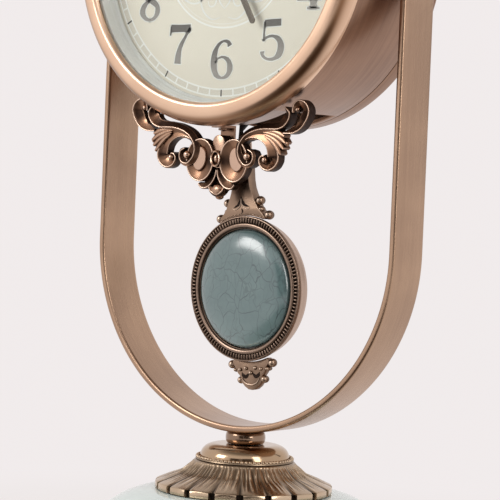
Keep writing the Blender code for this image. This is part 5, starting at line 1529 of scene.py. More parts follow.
@dataclass
class Hands:
    """The hour and minute hands on their pipes."""

    hour_face: float = -41.6 * MM
    minute_face: float = -44.6 * MM
    thickness: float = 0.8 * MM
    hour_reach: float = 51 * MM
    minute_reach: float = 76 * MM
    hour_width: float = 3.6 * MM
    minute_width: float = 3.2 * MM
    tail: float = 14 * MM
    boss: float = 6 * MM
    hour_angle: float = math.radians(150)
    minute_angle: float = 0.0
    pipe_radius: float = 2.7 * MM
    pipe_bore: float = 1.9 * MM
    arbor: float = 1.6 * MM
    inside: float = -26.6 * MM

    def outline(self, reach: float, width: float) -> list[Point]:
        """A round tip, a slight taper, a round boss and a short tail."""
        tip, root = width / 2, width * 0.36
        half = [(tip * math.sin(a), reach - tip + tip * math.cos(a)) for a in quarter(8)]
        half += arc(0, 0, self.boss, 70, -70, 21)
        half += arc(0, root - self.tail, root, 0, -90, 7)
        return mirrored(half)

    def build(self) -> None:
        """Make both hands."""
        front, low, wide = self.hour_face, self.inside - 0.6 * MM, self.pipe_radius
        end, bore = front - 0.4 * MM, self.pipe_bore
        pipe = fillet([(bore, end), (wide, end), (wide, low), (bore, low)], 0.15 * MM)
        blade = self.outline(self.hour_reach, self.hour_width)
        self.hand("hour", blade, front, pipe, True, self.hour_angle)
        front, low, cap = self.minute_face, self.inside - 0.3 * MM, self.boss * 0.6
        end, neck, thin = front - 1.2 * MM, front + 0.4 * MM, self.arbor
        pin = [(0, end), (cap, end), (cap, neck), (thin, neck), (thin, low), (0, low)]
        blade, axle = self.outline(self.minute_reach, self.minute_width), fillet(pin, 0.3 * MM, closed=False)
        self.hand("minute", blade, front, axle, False, self.minute_angle)

    def hand(
        self, name: str, outline: Sequence[Point], front: float, axle: Sequence[Point], closed: bool,
        angle: float,
    ) -> None:
        """One flat blade on its turned axle."""
        blade = prism(outline, front, front + self.thickness, 0.12 * MM)
        made = Casting(blade, turned(axle, Axis.FRONT, 48, closed))
        made.move(raised(DRUM_Z) @ Matrix.Rotation(angle, 4, "Y"))
        settle(made.object(f"{name}_blade", PALETTE.hand), f"{name}_hand", f"{name}_hand")


# Pendulum


@dataclass
class Pendulum:
    """The lever, rod, crown, bob and drop, drawn about the pivot and then swung."""

    drop: float = 135.5 * MM
    half_height: float = 41.8 * MM
    squeeze: float = 0.95
    front: float = -27 * MM
    ring_height: float = 2.7 * MM
    ring_width: float = 7.5 * MM
    wall: float = 1.5 * MM
    depth: float = 12.4 * MM
    stone_rise: float = 9 * MM
    notches: int = 120
    rib_rise: float = 0.5 * MM
    rib_fall: float = 0.7 * MM
    hanger_back: float = -18.2 * MM
    hanger_thickness: float = 2.3 * MM
    crown_thickness: float = 7 * MM
    crown_side: Sequence[Point] = (
        (0, -64), (5, -64), (6, -65.2), (6, -73), (6.6, -77.4), (7.7, -80.8), (9.8, -85.6), (11.5, -89.3),
        (15.2, -93.6), (16.8, -96.4),
    )
    crown_beads: Sequence[Spot] = ((11.8, -85.4, 2.6), (17.6, -94.2, 2.7), (12.4, -90.6, 1.9))
    palmette: Sequence[tuple[Sequence[Point], Sequence[float], Section, float]] = (
        (((0.1, -82.4), (0.5, -84.8), (2.4, -87.2), (5.8, -88.6)), (0.2, 1.7, 2.2, 1.4, 0.2), Plain(), 0.12),
        (
            ((-0.3, -83.4), (0.2, -86.2), (1.8, -88.6), (4.4, -89.8), (6.2, -89)), (0.2, 0.6, 0.7, 0.6, 0.2),
            Rolled(0.4, 0.9), 0.3,
        ),
        (((0, -89.4), (0.7, -90.6), (0.4, -91.8), (-0.6, -92.4)), (0.9, 1.2, 0.8, 0.2), Plain(0.95), 0.12),
    )
    dot: float = 0.42 * MM
    dot_pitch: float = 1.0 * MM
    drop_side: Sequence[Point] = (
        (13.4, -0.6), (11.2, -3.4), (9.8, -6.6), (7.6, -9), (7.2, -12),
        (4.8, -14.6), (2.4, -16.2), (0, -16.6),
    )
    drop_beads: Sequence[Spot] = ((14.6, -1.4, 2.5), (8.6, -10.6, 2.2), (11.6, -4.6, 1.4))
    drop_dots: Sequence[Spot] = ((3.4, -4.0, 1.15), (7.6, -4.6, 1.1))
    drop_recess: Sequence[Point] = ((0.6, -6.2), (3.4, -8.8), (5.6, -8.0), (6.4, -6.2))
    drop_lip: Sequence[Point] = ((-6.4, -9.6), (-4.2, -12.4), (0, -13.6), (4.2, -12.4), (6.4, -9.6))
    steps: int = 960

    def build(self) -> None:
        """Make every piece of the pendulum."""
        self.ring()
        self.cup()
        self.stone()
        self.crown()
        self.finial()
        self.rod()
        self.lever()

    def bob_place(self) -> Matrix:
        """The squeeze of what was turned round the bob's middle, and its place."""
        return swung() @ raised(-self.drop) @ Matrix.Diagonal((self.squeeze, 1, 1, 1))

    def ring(self) -> None:
        """The front ring: a smooth inner roll, and radial ribs inside a plain outer edge."""
        edge, front = self.half_height, self.front
        back, opening = front + self.ring_height, edge - self.ring_width
        roll = ((0.2, 1.5), (0.9, 1.05), (1.1, 0.45), (2.2, 0.05), (3.2, 0.3), (3.5, 0.9))
        guide = Path([(opening, back), *beside(opening, front, *roll)], 1.0)
        inner = [tuple(guide.at(i / 18)) for i in range(19)]
        low, high = opening + 3.5 * MM, opening + 6.5 * MM
        ribs = [(low + (high - low) * (i + 0.5) / 9, front + 0.8 * MM) for i in range(9)]
        rim = beside(high, front, (0.05, 0.9), (0.25, 0.35)) + beside(edge, front, (-0.3, 0.35), (0, 0.8))
        tail = [(edge, back), *beside(opening, back, (3.6, 0), (3.6, 0.8), (0, 0.8))]

        def change(point: Vector) -> Placed:
            radius = math.hypot(point.x, point.z)
            if point.y > front + 1.2 * MM or not low < radius < high:
                # Painted highlight on the roll's crest and outer edge, painted shade at its foot.
                crest = max(bell(radius - opening - 2.1 * MM, 0.9 * MM), float(radius > high))
                foot = bell(radius - opening - 0.9 * MM, 0.3 * MM)
                return point, 0.4 * crest if point.y < front + 1 * MM else 0.0, 0.8 * foot
            wave = math.cos(self.notches * math.atan2(point.z, point.x))
            across = (radius - low) / (high - low)
            hump = math.sin(math.pi * across) ** 0.35
            lift = self.rib_rise * hump * max(wave + 0.35, 0.0) - self.rib_fall * max(-wave - 0.1, 0.0)
            # Painted highlight on the rib crests, painted shade between the ribs and at their ends.
            groove = min(max(0.15 - wave, 0.0) * 2.4 + (1 - hump) * 0.6, 1.0)
            return point + Vector((0, -lift, 0)), max(wave, 0.0) ** 2 * hump * 0.55, groove

        ring = turned([*inner, *ribs, *rim, *tail], Axis.FRONT, self.steps).warp(change)
        made = Casting(ring).move(self.bob_place())
        settle(made.object("ribbed_ring", PALETTE.ring, 70), "pendulum", "bob_ring")

    def cup(self) -> None:
        """The pressed cup behind the ring, with steps in its side."""
        lip = self.front + self.ring_height + SEAT
        rim, wall, depth = self.half_height - 1 * MM, self.wall, self.depth
        back = self.front + self.ring_height + depth
        profile = [
            (0, back - wall), (rim - 10.4 * MM, back - wall),
            (rim - 4.4 * MM, back - 0.1 * depth - wall * 0.8), (rim - wall, lip + 0.62 * depth),
            (rim - wall, lip), (rim, lip), (rim, lip + 0.24 * depth), (rim - 0.8 * MM, lip + 0.28 * depth),
            (rim - 0.8 * MM, lip + 0.52 * depth), (rim - 1.6 * MM, lip + 0.57 * depth),
            (rim - 1.8 * MM, lip + 0.74 * depth), (rim - 3.8 * MM, back - 0.1 * depth), (rim - 10 * MM, back),
            (0, back),
        ]
        soft = fillet(profile, 0.8 * MM, closed=False)
        made = Casting(turned(soft, Axis.FRONT, 256, closed=False)).move(self.bob_place())
        settle(made.object("pressed_cup", PALETTE.cup), "pendulum", "bob_cup")

    def stone(self) -> None:
        """The domed ceramic stone, seated behind the ring."""
        back, opening = self.front + self.ring_height, self.half_height - self.ring_width
        shoulder = back + 0.8 * MM + SEAT
        inside, girth = opening - SEAT, opening + 1.2 * MM
        floor = back + self.depth - self.wall - SEAT
        dome = [(inside * math.sin(a), shoulder - self.stone_rise * math.cos(a) ** 0.62) for a in quarter(40)]
        taper = self.half_height - 13 * MM
        profile = [*dome, (girth, shoulder), (girth, shoulder + 2 * MM), (taper, floor), (0, floor)]
        made = Casting(turned(profile, Axis.FRONT, 256, closed=False)).move(self.bob_place())
        settle(made.object("crackle_stone", PALETTE.cabochon), "pendulum", "bob_cabochon")

    def foot(self, x: float, gap: float) -> float:
        """The height of the bob's upper edge at a distance from its middle, with a gap."""
        reach = self.half_height + gap
        return reach * math.sqrt(max(1 - (x / (reach * self.squeeze)) ** 2, 0.0)) - self.drop

    def crown(self) -> None:
        """A flat cast plate over the bob, with side beads and an engraved palmette."""
        back = self.hanger_back
        front = back - self.crown_thickness
        half = beside(0, 0, *self.crown_side)
        half += [(x * MM, self.foot(x * MM, SEAT)) for x in (15, 12, 8, 4, 0)]
        casting = Casting(prism(mirrored(half), front, back, 0.45 * MM, 0.45))
        for mirror in (1, -1):
            for points, widths, section, proud in self.palmette[:2 if mirror < 0 else 3]:
                path = Path([(mirror * x, z) for x, z in points])
                casting.add(ribbon(path, widths, front - proud * MM, front + 1 * MM, section, 40, 12))
            for x, z, radius in self.crown_beads:
                half_size = (radius * MM, (radius + 0.6) * MM, radius * MM)
                casting.add(bead((mirror * x * MM, front + 3.2 * MM, z * MM), half_size, 0.75, 24))
        for i in range(-15, 16):
            x = i * self.dot_pitch
            casting.add(bead((x, front - 0.05 * MM, self.foot(x, 1.1 * MM)), (self.dot,) * 3, 0.8, 8))
        casting.move(swung())
        settle(casting.object("crown_casting", PALETTE.crown), "pendulum", "bob_crown")

    def finial(self) -> None:
        """A small cast drop under the bob, with beads, curls and dark recesses."""
        front, thick = self.front + self.ring_height + SEAT, 5.5 * MM
        top = -self.drop - self.half_height
        half = [(x * MM, -2 * self.drop - self.foot(x * MM, SEAT)) for x in (0, 4, 8, 12)]
        half += beside(0, top, *self.drop_side)
        casting = Casting(prism(mirrored(half), front + 0.6 * MM, front + thick, 0.5 * MM, 0.5))
        middle = front + thick / 2
        for side in (1, -1):
            for x, z, radius in self.drop_beads:
                half_size = (radius * MM, 2.9 * MM, radius * MM)
                casting.add(bead((side * x * MM, middle, top + z * MM), half_size, 0.75, 20))
            for x, z, radius in self.drop_dots:
                middle_dot = (side * x * MM, front + 0.4 * MM, top + z * MM)
                casting.add(bead(middle_dot, (radius * MM,) * 3, 0.9, 16))
            recess = Path(beside(0, top, *((side * x, z) for x, z in self.drop_recess)), 1.0)
            widths = (0.4, 2.2, 2.2, 0.3)
            casting.add(ribbon(recess, widths, front + 0.48 * MM, front + 2 * MM, Plain(), 30, 12))
        casting.add(bead((0, front + 0.4 * MM, top - 6.6 * MM), (1.3 * MM, 1.3 * MM, 1.3 * MM), 0.9, 16))
        lip, widths = Path(beside(0, top, *self.drop_lip), 1.0), (0.3, 1.3, 1.6, 1.3, 0.3)
        casting.add(ribbon(lip, widths, front + 0.1 * MM, front + 2 * MM, Rolled(0.45, 0.9), 50, 14))
        casting.move(swung())
        settle(casting.object("drop_casting", PALETTE.crown), "pendulum", "bob_finial")

    def rod(self) -> None:
        """The flat rod with its hook pin."""
        front, hook, low, half = self.hanger_back + SEAT, -48 * MM, -90 * MM, 3 * MM
        outline = mirrored([*arc(0, hook, half, 90, 0, 9), *arc(0, low + half, half, 0, -90, 9)])
        profile = beside(0, front, (0, -3.4), (1.3, -3.4), (1.3, 0.7), (0, 0.7))
        soft = fillet(profile, 0.2 * MM, closed=False)
        pin = turned(soft, Axis.FRONT, 32, closed=False).move(raised(hook))
        casting = Casting(prism(outline, front, front + 1.4 * MM, 0.25 * MM), pin).move(swung())
        settle(casting.object("flat_rod", PALETTE.cup), "pendulum", "pendulum_rod")

    def lever(self) -> None:
        """The black drive lever: an eye on the pin, a long bar and an open hook."""
        low, hook = -48 * MM, 1.6 * MM
        front = self.hanger_back - self.hanger_thickness
        outline = [
            *arc(0, 0, 5 * MM, -55, 235, 32), *beside(0, low, (-2.5, 7), (-3.7, 0)),
            *arc(0, low, hook + 2.2 * MM, 180, 360, 20), *beside(hook, low, (2.2, 3), (0, 3)),
            *arc(0, low, hook, 0, -180, 14), *beside(-hook, low, (0, 4)), *beside(0, low, (2.5, 7)),
        ]
        casting = Casting(prism(outline, front, self.hanger_back, 0.3 * MM)).move(swung())
        settle(casting.object("drive_lever", PALETTE.plastic), "pendulum", "pendulum_hanger")


# Scroll ornament


@dataclass(frozen=True)
class Band:
    """One scroll of the ornament: a lit line, and the widths and painted shade to its left and right along
    it.
    """

    points: Sequence[Point]
    left: Sequence[float]
    right: Sequence[float]
    low: float = 0.0
    hollow: float = 0.26
    # Painted shade along each side of the lit line, in place of dark reflections.
    shade_left: Sequence[float] = (0.3, 0.3)
    shade_right: Sequence[float] = (0.3, 0.3)
    crest: float = 0.38
    # Strength of the painted highlight along the outer lip.
    lip: float = 0.45
    along: int = 130


@dataclass
class Ornament:
    """The cast ornament under the drum: mirrored scrolls, leaves, balls and a framed middle stone."""

    front: float = -39.2 * MM
    back: float = -29 * MM
    rows: int = 32
    face_rows: int = 27
    wall_drop: float = 0.35 * MM
    lift: float = 0.7
    glow: float = 0.75
    hollow_span: float = 0.72
    hollow_room: float = 5 * MM
    lip_width: float = 0.32 * MM
    lip_room: float = 1.4 * MM
    foot_width: float = 0.35 * MM
    fall: float = 1.2 * MM
    fall_room: float = 3 * MM
    scrolls: Sequence[Band] = (
        Band(
            (
                (48.9, 79.2), (51.5, 76.7), (51.9, 74.2), (50.7, 71.2), (47.7, 68.3), (43.2, 66.9),
                (38.8, 66.9), (32.2, 66.7), (26.1, 65.3), (21.1, 62.9), (18.3, 60.1), (16.5, 57.2),
                (16.0, 53.5), (17.6, 49.3), (21.3, 46.2), (25.4, 47.0), (27.1, 49.9), (26.4, 53.2),
                (23.4, 54.9),
            ),
            (0.5, 0.5, 0.5, 0.5, 0.6, 0.6, 1.2, 4.2, 4.6, 3.2, 1.8, 1.4, 2.0, 2.8, 2.8, 2.2, 1.6, 1.2, 0.5),
            (1.0, 3.4, 5.0, 5.6, 5.0, 4.2, 3.6, 3.0, 2.8, 2.8, 3.0, 3.0, 2.8, 2.4, 1.8, 1.5, 1.4, 1.2, 0.6),
            0.0, 0.3,
            (0.2, 0.2, 0.2, 0.2, 0.2, 0.2, 0.3, 0.4, 0.3, 0.3, 0.6, 1.0, 1.0, 1.0, 1.0, 1.0, 1.0, 1.0, 1.0),
            (0.9, 1.0, 0.8, 0.4, 0.8, 1.0, 1.0, 1.0, 1.0, 1.0, 1.0, 1.0, 0.8, 0.1, 0.0, 0.1, 0.5, 0.8, 0.8),
            0.36, 0.2, 200,
        ),
        Band(
            (
                (53.7, 76.3), (53.8, 78.6), (54.6, 81.0), (57.6, 83.2), (61.4, 82.4), (64.2, 79.5),
                (64.8, 76.0), (63.0, 71.5), (59.4, 67.3), (54.2, 64.9), (47.6, 64.6),
            ),
            (0.4, 0.4, 0.4, 0.4, 0.4, 0.4, 0.4, 0.4, 0.4, 0.4, 0.4),
            (0.8, 1.2, 2.4, 4.0, 4.4, 5.2, 6.0, 6.0, 5.0, 3.6, 1.2),
            0.5, 0.3, (0.0, 0.0), (0.3, 0.3, 0.2, 0.0, 0.1, 0.6, 1.0, 1.0, 0.1, 0.0, 0.4), 0.42, 0.2,
        ),
        Band(
            (
                (42.0, 57.6), (44.1, 53.7), (44.6, 50.8), (43.9, 48.0), (41.5, 45.2), (37.6, 43.7),
                (33.7, 44.7), (31.6, 46.9), (31.0, 49.4), (32.3, 51.3), (34.4, 51.7),
            ),
            (0.3, 0.4, 0.5, 0.6, 0.8, 0.8, 0.8, 0.7, 0.6, 0.5, 0.3),
            (6.4, 7.2, 7.2, 6.4, 5.2, 4.2, 3.0, 1.6, 1.2, 1.0, 0.5),
            0.9, 0.3, (0.0, 0.0), (0.1, 0.7, 1.0, 0.6, 0.0, 0.0, 0.2, 0.7, 0.9, 0.6, 0.4), 0.42, 0.2,
        ),
        Band(
            (
                (17.6, 57.5), (19.4, 59.9), (23.6, 61.7), (28.2, 61.7), (32.6, 60.0), (35.8, 57.0),
                (37.0, 53.6), (37.2, 51.2),
            ),
            (1.2, 2.8, 3.8, 4.6, 5.4, 6.2, 6.8, 7.0), (0.3, 0.4, 0.4, 0.5, 0.5, 0.5, 0.4, 0.3),
            1.0, 0.1, (0.5, 0.4, 0.3, 0.1, 0.0, 0.0, 0.6, 1.0), (0.6, 0.6), 0.15, 0.0,
        ),
        Band(
            ((0.3, 42.8), (1.1, 39.1), (3.0, 35.9), (5.3, 33.7), (8.0, 32.5), (11.2, 32.6), (13.4, 34.6)),
            (0.8, 2.8, 4.6, 5.4, 5.2, 4.0, 1.4), (0.3, 0.4, 0.5, 0.7, 0.8, 0.7, 0.3),
            1.6, 0.3, (0.9, 1.0, 0.8, 0.4, 0.3, 0.3, 0.8), (0.2, 0.2), 0.42, 0.0, 80,
        ),
        Band(
            ((0.1, 28.9), (2.2, 29.5), (4.4, 31.0), (5.6, 33.2)),
            (2.8, 2.8, 2.4, 1.0), (1.6, 1.5, 1.2, 0.4), 1.8, 0.2, (0.0, 0.1), (1.0, 1.0), 0.42, 0.0, 40,
        ),
    )
    lobes: Sequence[Sequence[Point]] = (
        ((33.5, 66.0), (38.5, 65.9), (43.5, 65.0), (48.2, 63.0)),
        ((33.8, 65.0), (39.0, 64.2), (44.5, 62.3), (49.2, 59.2)),
        ((34.2, 63.9), (39.0, 62.3), (43.8, 59.7), (48.0, 56.0)),
        ((34.8, 62.8), (38.8, 60.6), (42.6, 57.4), (46.2, 52.8)),
    )
    lobe_widths: Sequence[float] = (0.8, 2.4, 3.5, 3.5, 1.6)
    oval_centre: Point = (12.4, 48.4)
    oval_half: Point = (9.8, 12.0)
    oval_widths: Sequence[float] = (4.6, 5.6, 6.4, 6.2, 5.6, 4.6, 3.6, 4.0, 4.6)
    oval_shade: Sequence[float] = (0.1, 0.5, 1.0, 0.3, 0.0, 0.2, 0.5, 0.5, 0.1)
    oval_lean: float = math.radians(4)
    inlay_centre: Point = (13.6, 49.1)
    inlay_half: Point = (4.7, 6.8)
    inlay_lean: float = math.radians(8)
    inlay_profile: Sequence[Point] = ((0, -37.2), (0.95, -37.15), (1, -36.9), (1, -35.1), (0, -35.1))
    stone_z: float = 49.3 * MM
    stone_frame: Sequence[Point] = (
        (1.0, -38.6), (0.97, -39.6), (0.86, -40.0), (0.74, -39.6), (0.68, -38.6), (0.66, -33), (1.0, -33),
    )
    stem: Sequence[Point] = ((3.6, 44), (-3.6, 44), (-4.6, 36), (-4.6, 31), (4.6, 31), (4.6, 36))
    eyes: Sequence[tuple[float, float, float, float]] = (
        (22.2, 51.0, 4.4, 2.6), (56.4, 78.1, 1.7, 1.5), (34.6, 49.4, 3.2, 1.8),
    )

    def build(self) -> None:
        """Make the ornament and its inlays."""
        half = [self.crested(band) for band in self.scrolls]
        for row, points in enumerate(self.lobes):
            low = self.front + (0.9 - 0.12 * row) * MM
            lobe = Rolled(0.42, 0.3, 0.35)
            half.append(ribbon(Path(points), self.lobe_widths, low, self.back - 3 * MM, lobe, 60, 18))
        for x, z, radius, ball in self.eyes:
            half += self.eye(x * MM, z * MM, radius * MM, ball * MM)
        half += self.oval_leaf()
        half.append(bead((49.0 * MM, -36 * MM, 59.0 * MM), (1.3 * MM, 2.0 * MM, 1.6 * MM), 0.9))
        other = [solid.copy(Matrix.Diagonal((-1, 1, 1, 1))) for solid in half]
        casting = Casting(*half, *other, *self.middle()).move(raised(ARC_Z))
        settle(casting.object("scroll_casting", PALETTE.cast, 50), "clock", "scroll_ornament")
        self.inlays()

    def crested(self, band: Band) -> Solid:
        """A strip with its lit line on the drawn path and a hollow on each side of it."""
        front = self.front + band.low * MM
        back = self.back - (3.0 + 0.4 * band.low) * MM
        across, face = self.rows, self.face_rows
        at = stations(Path(band.points), band.left, band.right)

        def place(u: float, v: float) -> Placed:
            middle, normal, left, right = at(u)
            row = round(v * across) % across
            t = row / face if row <= face else float(row <= face + 2)
            share = abs(2 * t - 1)
            width, shades = (left, band.shade_left) if t < 0.5 else (right, band.shade_right)
            flat = middle + normal * (width * share if t < 0.5 else -width * share)
            # The walls and back are painted in full shade.
            if row in (face + 2, face + 3):
                return Vector((flat.x, back, flat.y)), 0.0, 1.0
            depth, ridge, groove = self.relief(share, width, band, spread(shades, u))
            if row > face:
                depth, ridge, groove = depth + self.wall_drop, 0.0, 1.0
            return Vector((flat.x, min(front + depth, back - 0.05 * MM), flat.y)), ridge, groove

        return sheet(band.along, across, place)

    def relief(self, share: float, width: float, band: Band, shade: float) -> Relief:
        """Depth, painted highlight and painted shade at a share of the way from the lit line to the strip's
        edge.
        """
        reach, crest = share * width, min(band.crest * MM, 0.9 * width)
        if reach < crest:
            fall = 1 - math.sqrt(max(1 - (reach / crest) ** 2, 0.0))
            return self.lift * crest * fall, bell(reach / crest, self.glow), 0.0
        part = (reach - crest) / max(width - crest, 0.01 * MM)
        deepest = band.hollow * min(width, self.hollow_room)
        hollow = math.sin(math.pi * min(part * self.hollow_span, 1.0)) * deepest
        # Painted highlight along the outer lip; painted shade at the crest's foot and across the hollow, by
        # the band's shade values.
        lip = band.lip * bell(width - reach, self.lip_width) if width > self.lip_room else 0.0
        foot = bell(reach - crest, self.foot_width) * min(band.hollow / 0.3, 1.0)
        fall = self.fall * part ** 3 * min(width / self.fall_room, 1.0)
        dark = max(0.75 * foot, shade * min(1.5 * math.sin(math.pi * (0.8 * part + 0.1)), 1.0))
        return self.lift * crest + hollow + fall, lip * (1 - 0.5 * shade), min(dark, 1.0) * (1 - lip)

    def eye(self, x: float, z: float, radius: float, ball: float) -> list[Solid]:
        """A ball on a dark sunk disc."""
        floor, back = self.front + 3.4 * MM, self.back - 1.1 * MM
        disc = [
            (0, floor + 0.6 * MM), (radius * 0.8, floor + 0.3 * MM), (radius, floor), (radius, back),
            (0, back),
        ]
        # The sunk disc is dark with patina and painted shade.
        sunk = turned(fillet(disc, 0.4 * MM, closed=False), Axis.FRONT, 48, closed=False).tone(0.8)
        return [sunk.move(shifted(x, z)), bead((x, self.front + 2.0 * MM, z), (ball, ball, ball), 0.85, 28)]

    def oval_leaf(self) -> list[Solid]:
        """A broad hollow oval band round a sunk floor."""
        (x, z), (wide, high), lean = self.oval_centre, self.oval_half, self.oval_lean
        outline = []
        for i in range(19):
            angle = math.tau * i / 18 + math.pi / 2
            right, up = wide * math.cos(angle), high * math.sin(angle)
            outline.append((
                x + right * math.cos(lean) - up * math.sin(lean),
                z + right * math.sin(lean) + up * math.cos(lean),
            ))
        band = self.crested(Band(
            outline, self.oval_widths, (0.5, 0.5), 1.0, 0.2, self.oval_shade, (0.2, 0.2), 0.42, 0.0, 160,
        ))
        front, back = self.front + 3.8 * MM, self.back - 0.8 * MM
        # The sunk floor is dark with patina and painted shade.
        sunk = turned([(0, front), (1, front), (1, back), (0, back)], Axis.FRONT, 64, closed=False).tone(0.9)
        place = shifted(x * MM, z * MM) @ Matrix.Rotation(-lean, 4, "Y")
        return [band, sunk.move(place @ Matrix.Diagonal(((wide - 1.5) * MM, 1, (high - 1.5) * MM, 1)))]

    def middle(self) -> list[Solid]:
        """The middle stone in its oval frame, the bud below and the round lug above."""
        z = self.stone_z
        frame = turned([(r, y * MM) for r, y in self.stone_frame], Axis.FRONT, 64)
        # Painted highlight on the frame's front rim, painted shade behind it; the bed and stem take painted
        # shade.
        for vert in frame.mesh.verts:
            vert[frame.ridge] = 1.0 if vert.co.y < -39.5 * MM else 0.0
            vert[frame.groove] = 0.8 if vert.co.y > -38.8 * MM else 0.0
        frame.move(shifted(0, z) @ Matrix.Diagonal((3.6 * MM, 1, 4.9 * MM, 1)))
        bed = turned([(0, -37.2), (1, -37.2), (1, -32), (0, -32)], Axis.FRONT, 48, closed=False).tone(0.9)
        bed.move(shifted(0, z) @ Matrix.Diagonal((2.9 * MM, MM, 4.2 * MM, 1)))
        stone = bead((0, -37.4 * MM, z), (1.5 * MM, 1.9 * MM, 2.8 * MM), 1.0, 32)
        outline = arc(0, 58.7 * MM, 4.3 * MM, 0, 180, 30) + beside(0, 0, (-4.3, 44), (4.3, 44))
        lug = prism(outline, self.front + 2.6 * MM, self.back, 0.35 * MM, 0.9)
        # Painted highlight on the lug's front face, painted shade on its sides.
        for vert in lug.mesh.verts:
            vert[lug.ridge] = max(vert[lug.ridge], 0.3 if vert.co.y < self.front + 2.7 * MM else 0.0)
            vert[lug.groove] = 1.0 if vert.co.y > self.front + 2.9 * MM else 0.0
        outline = beside(0, 0, *self.stem)
        stem = prism(outline, self.front + 5 * MM, self.back - 1.2 * MM, 0.4 * MM).tone(0.9)
        bud = bead((0, -34.6 * MM, 31.2 * MM), (5.2 * MM, 3.4 * MM, 4.0 * MM), 0.3, 32)
        tip = bead((0, -33.6 * MM, 27.6 * MM), (2.6 * MM, 2.2 * MM, 1.8 * MM), 0.0, 20)
        return [frame, bed, stone, lug, stem, bud, tip]

    def inlays(self) -> None:
        """The flat light ovals inside the oval bands."""
        casting = Casting()
        for mirror in (1, -1):
            one = turned([(r, y * MM) for r, y in self.inlay_profile], Axis.FRONT, 64, closed=False)
            place = shifted(mirror * self.inlay_centre[0] * MM, self.inlay_centre[1] * MM)
            lean = Matrix.Rotation(-self.inlay_lean * mirror, 4, "Y")
            half = Matrix.Diagonal((self.inlay_half[0] * MM, 1, self.inlay_half[1] * MM, 1))
            casting.add(one.move(place @ lean @ half))
        settle(casting.move(raised(ARC_Z)).object("peach_inlays", PALETTE.inlay), "clock")


# Carried-over pieces


@dataclass
class Fittings:
    """The frame's own pieces that keep their shape and get a finish."""

    steel: Sequence[str] = (
        "tie_screw", "tie_nut", "tie_washer", "side_nut_right", "side_nut_left", "rod_screw",
        *(f"cover_screw_{i}" for i in range(1, 5)),
    )
    bronze: Sequence[str] = ("bush_nut",)
    copper: Sequence[str] = ("ornament_bracket", "bracket_screw", "lug_screw")
    plastic: Sequence[str] = ("movement_case", "set_knob")
    cell: Sequence[str] = ("battery",)
    felt: Sequence[str] = tuple(f"foot_pad_{i}" for i in range(1, 5))

    def dress(self, nodes: dict[str, bpy.types.Object]) -> None:
        """Give each node its finish."""
        rows = (
            (self.steel, PALETTE.steel), (self.bronze, PALETTE.dome), (self.copper, PALETTE.drum),
            (self.plastic, PALETTE.plastic), (self.cell, PALETTE.cell), (self.felt, PALETTE.felt),
        )
        for names, finish in rows:
            for name in names:
                nodes[name].data.materials.clear()
                nodes[name].data.materials.append(finish.made())
                log.info("%s keeps its shape, finish %s", name, finish.name)


# Studio


@dataclass(frozen=True)
class Lamp:
    """A soft lamp that faces the clock, and whether metal mirrors it."""

    name: str
    place: Spot
    size: Point
    power: float
    colour: Colour
    mirrored: bool


@dataclass(frozen=True)
class Flag:
    """A dark cloth that faces a point, out of the camera's sight."""

    name: str
    place: Spot
    aim: Spot
    size: Point


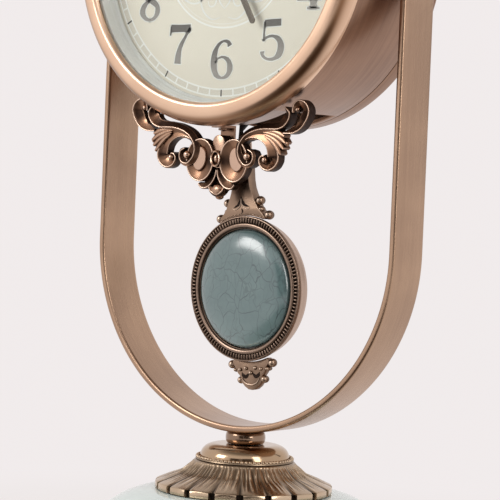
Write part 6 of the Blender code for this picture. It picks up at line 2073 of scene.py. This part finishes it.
@dataclass
class Studio:
    """Camera, floor, world, lamps and the dark flags that the metal mirrors."""

    lens: float = 148.8
    sensor: float = 36.0
    place: Spot = (0.7503, -0.9581, 0.2891)
    yaw: float = 0.665977
    pitch: float = -0.030073
    roll: float = 0.041611
    middle: Spot = (0.0, 0.0, 0.3)
    backdrop: Colour = (0.88, 0.835, 0.835)
    ceiling: Colour = (0.25, 0.225, 0.21)
    lamps: Sequence[Lamp] = (
        Lamp("broad", (-1.9, -2.2, 0.9), (2.6, 1.9), 11.5, (1.0, 0.985, 0.965), False),
        Lamp("key", (-1.15, -1.95, 1.3), (1.0, 0.8), 17.0, (1.0, 0.985, 0.965), True),
        Lamp("side", (1.5, -0.5, 0.9), (0.5, 1.2), 8.0, (1.0, 0.98, 0.96), True),
        Lamp("top", (0.1, 0.1, 1.7), (1.4, 1.0), 12.0, (1.0, 1.0, 1.0), False),
    )
    flags: Sequence[Flag] = (
        Flag("flag_right", (1.9, -1.5, 0.5), (0.0, 0.0, 0.3), (2.0, 1.8)),
        Flag("flag_inner", (0.26, 0.4, 0.48), (-0.105, 0.0, 0.48), (0.05, 0.36)),
        Flag("flag_front", (0.5, -2.1, 0.4), (0.0, 0.0, 0.3), (1.1, 1.5)),
    )

    def build(self) -> None:
        """Set the whole studio up."""
        self.camera()
        self.floor()
        self.world()
        for lamp in self.lamps:
            self.lamp(lamp)
        for flag in self.flags:
            self.flag(flag)
        bpy.context.scene.view_settings.view_transform = "Standard"

    def camera(self) -> None:
        """The camera of the photograph."""
        data = bpy.data.cameras.new("camera")
        data.lens = self.lens
        data.sensor_width = self.sensor
        data.clip_start = 0.01
        made = bpy.data.objects.new("camera", data)
        bpy.context.scene.collection.objects.link(made)
        bpy.context.scene.camera = made
        ahead = Vector((
            -math.sin(self.yaw) * math.cos(self.pitch), math.cos(self.yaw) * math.cos(self.pitch),
            math.sin(self.pitch),
        ))
        right = Vector((math.cos(self.yaw), math.sin(self.yaw), 0))
        up = right.cross(ahead)
        turned_right = right * math.cos(self.roll) + up * math.sin(self.roll)
        turned_up = up * math.cos(self.roll) - right * math.sin(self.roll)
        turn = Matrix((turned_right, turned_up, -ahead)).transposed().to_4x4()
        made.matrix_world = Matrix.Translation(self.place) @ turn

    def floor(self) -> None:
        """A wide pale floor."""
        plane = Solid()
        bmesh.ops.create_grid(plane.mesh, x_segments=1, y_segments=1, size=30.0)
        Casting(plane).object("floor", PALETTE.table)

    def flag(self, flag: Flag) -> None:
        """Hang one dark cloth."""
        plane = Solid()
        bmesh.ops.create_grid(plane.mesh, x_segments=1, y_segments=1, size=0.5)
        turn = (Vector(flag.aim) - Vector(flag.place)).to_track_quat("-Z", "Y").to_matrix().to_4x4()
        plane.move(Matrix.Translation(flag.place) @ turn @ Matrix.Diagonal((*flag.size, 1, 1)))
        made = Casting(plane).object(flag.name, PALETTE.flag)
        made.visible_camera = False
        made.visible_shadow = False

    def world(self) -> None:
        """The plain backdrop for the camera and in mirrors, and a soft gradient as light."""
        world = bpy.data.worlds.new("studio")
        bpy.context.scene.world = world
        world.use_nodes = True
        net = Net(world.node_tree)
        x, _, z = net.parts(net.add("ShaderNodeTexCoord", {}, {}, "Generated"))
        tone = net.mix(z.step(-0.25, 0.75), (0.20, 0.165, 0.15), (0.64, 0.62, 0.62))
        tone = net.mix(x.step(-0.2, 1.0) * 0.45, tone, (0.12, 0.10, 0.09))
        seen = net.ray("Is Camera Ray").most(net.ray("Is Glossy Ray")).most(net.ray("Is Transmission Ray"))
        soft = net.add("ShaderNodeBackground", {}, {"Color": tone, "Strength": 1.0})
        above = net.mix(z.step(0.65, 0.95) * net.ray("Is Glossy Ray"), self.backdrop, self.ceiling)
        plain = net.add("ShaderNodeBackground", {}, {"Color": above, "Strength": 1.0})
        net.out(net.blend(seen, soft, plain), "ShaderNodeOutputWorld")

    def lamp(self, lamp: Lamp) -> None:
        """Hang one soft lamp."""
        data = bpy.data.lights.new(lamp.name, "AREA")
        data.shape = "RECTANGLE"
        data.size, data.size_y = lamp.size
        data.energy = lamp.power
        data.color = lamp.colour
        made = bpy.data.objects.new(lamp.name, data)
        bpy.context.scene.collection.objects.link(made)
        made.location = lamp.place
        made.rotation_euler = (Vector(self.middle) - Vector(lamp.place)).to_track_quat("-Z", "Y").to_euler()
        made.visible_glossy = lamp.mirrored


def main() -> None:
    """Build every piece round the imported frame."""
    logging.basicConfig(level=logging.INFO, format="%(message)s")
    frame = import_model()
    Studio().build()
    Fittings().dress(frame["nodes"])
    Base().build()
    Flange().build()
    Frame().build()
    Drum().build()
    DialArt().build()
    Hands().build()
    Pendulum().build()
    Ornament().build()


if __name__ == "__main__":
    main()
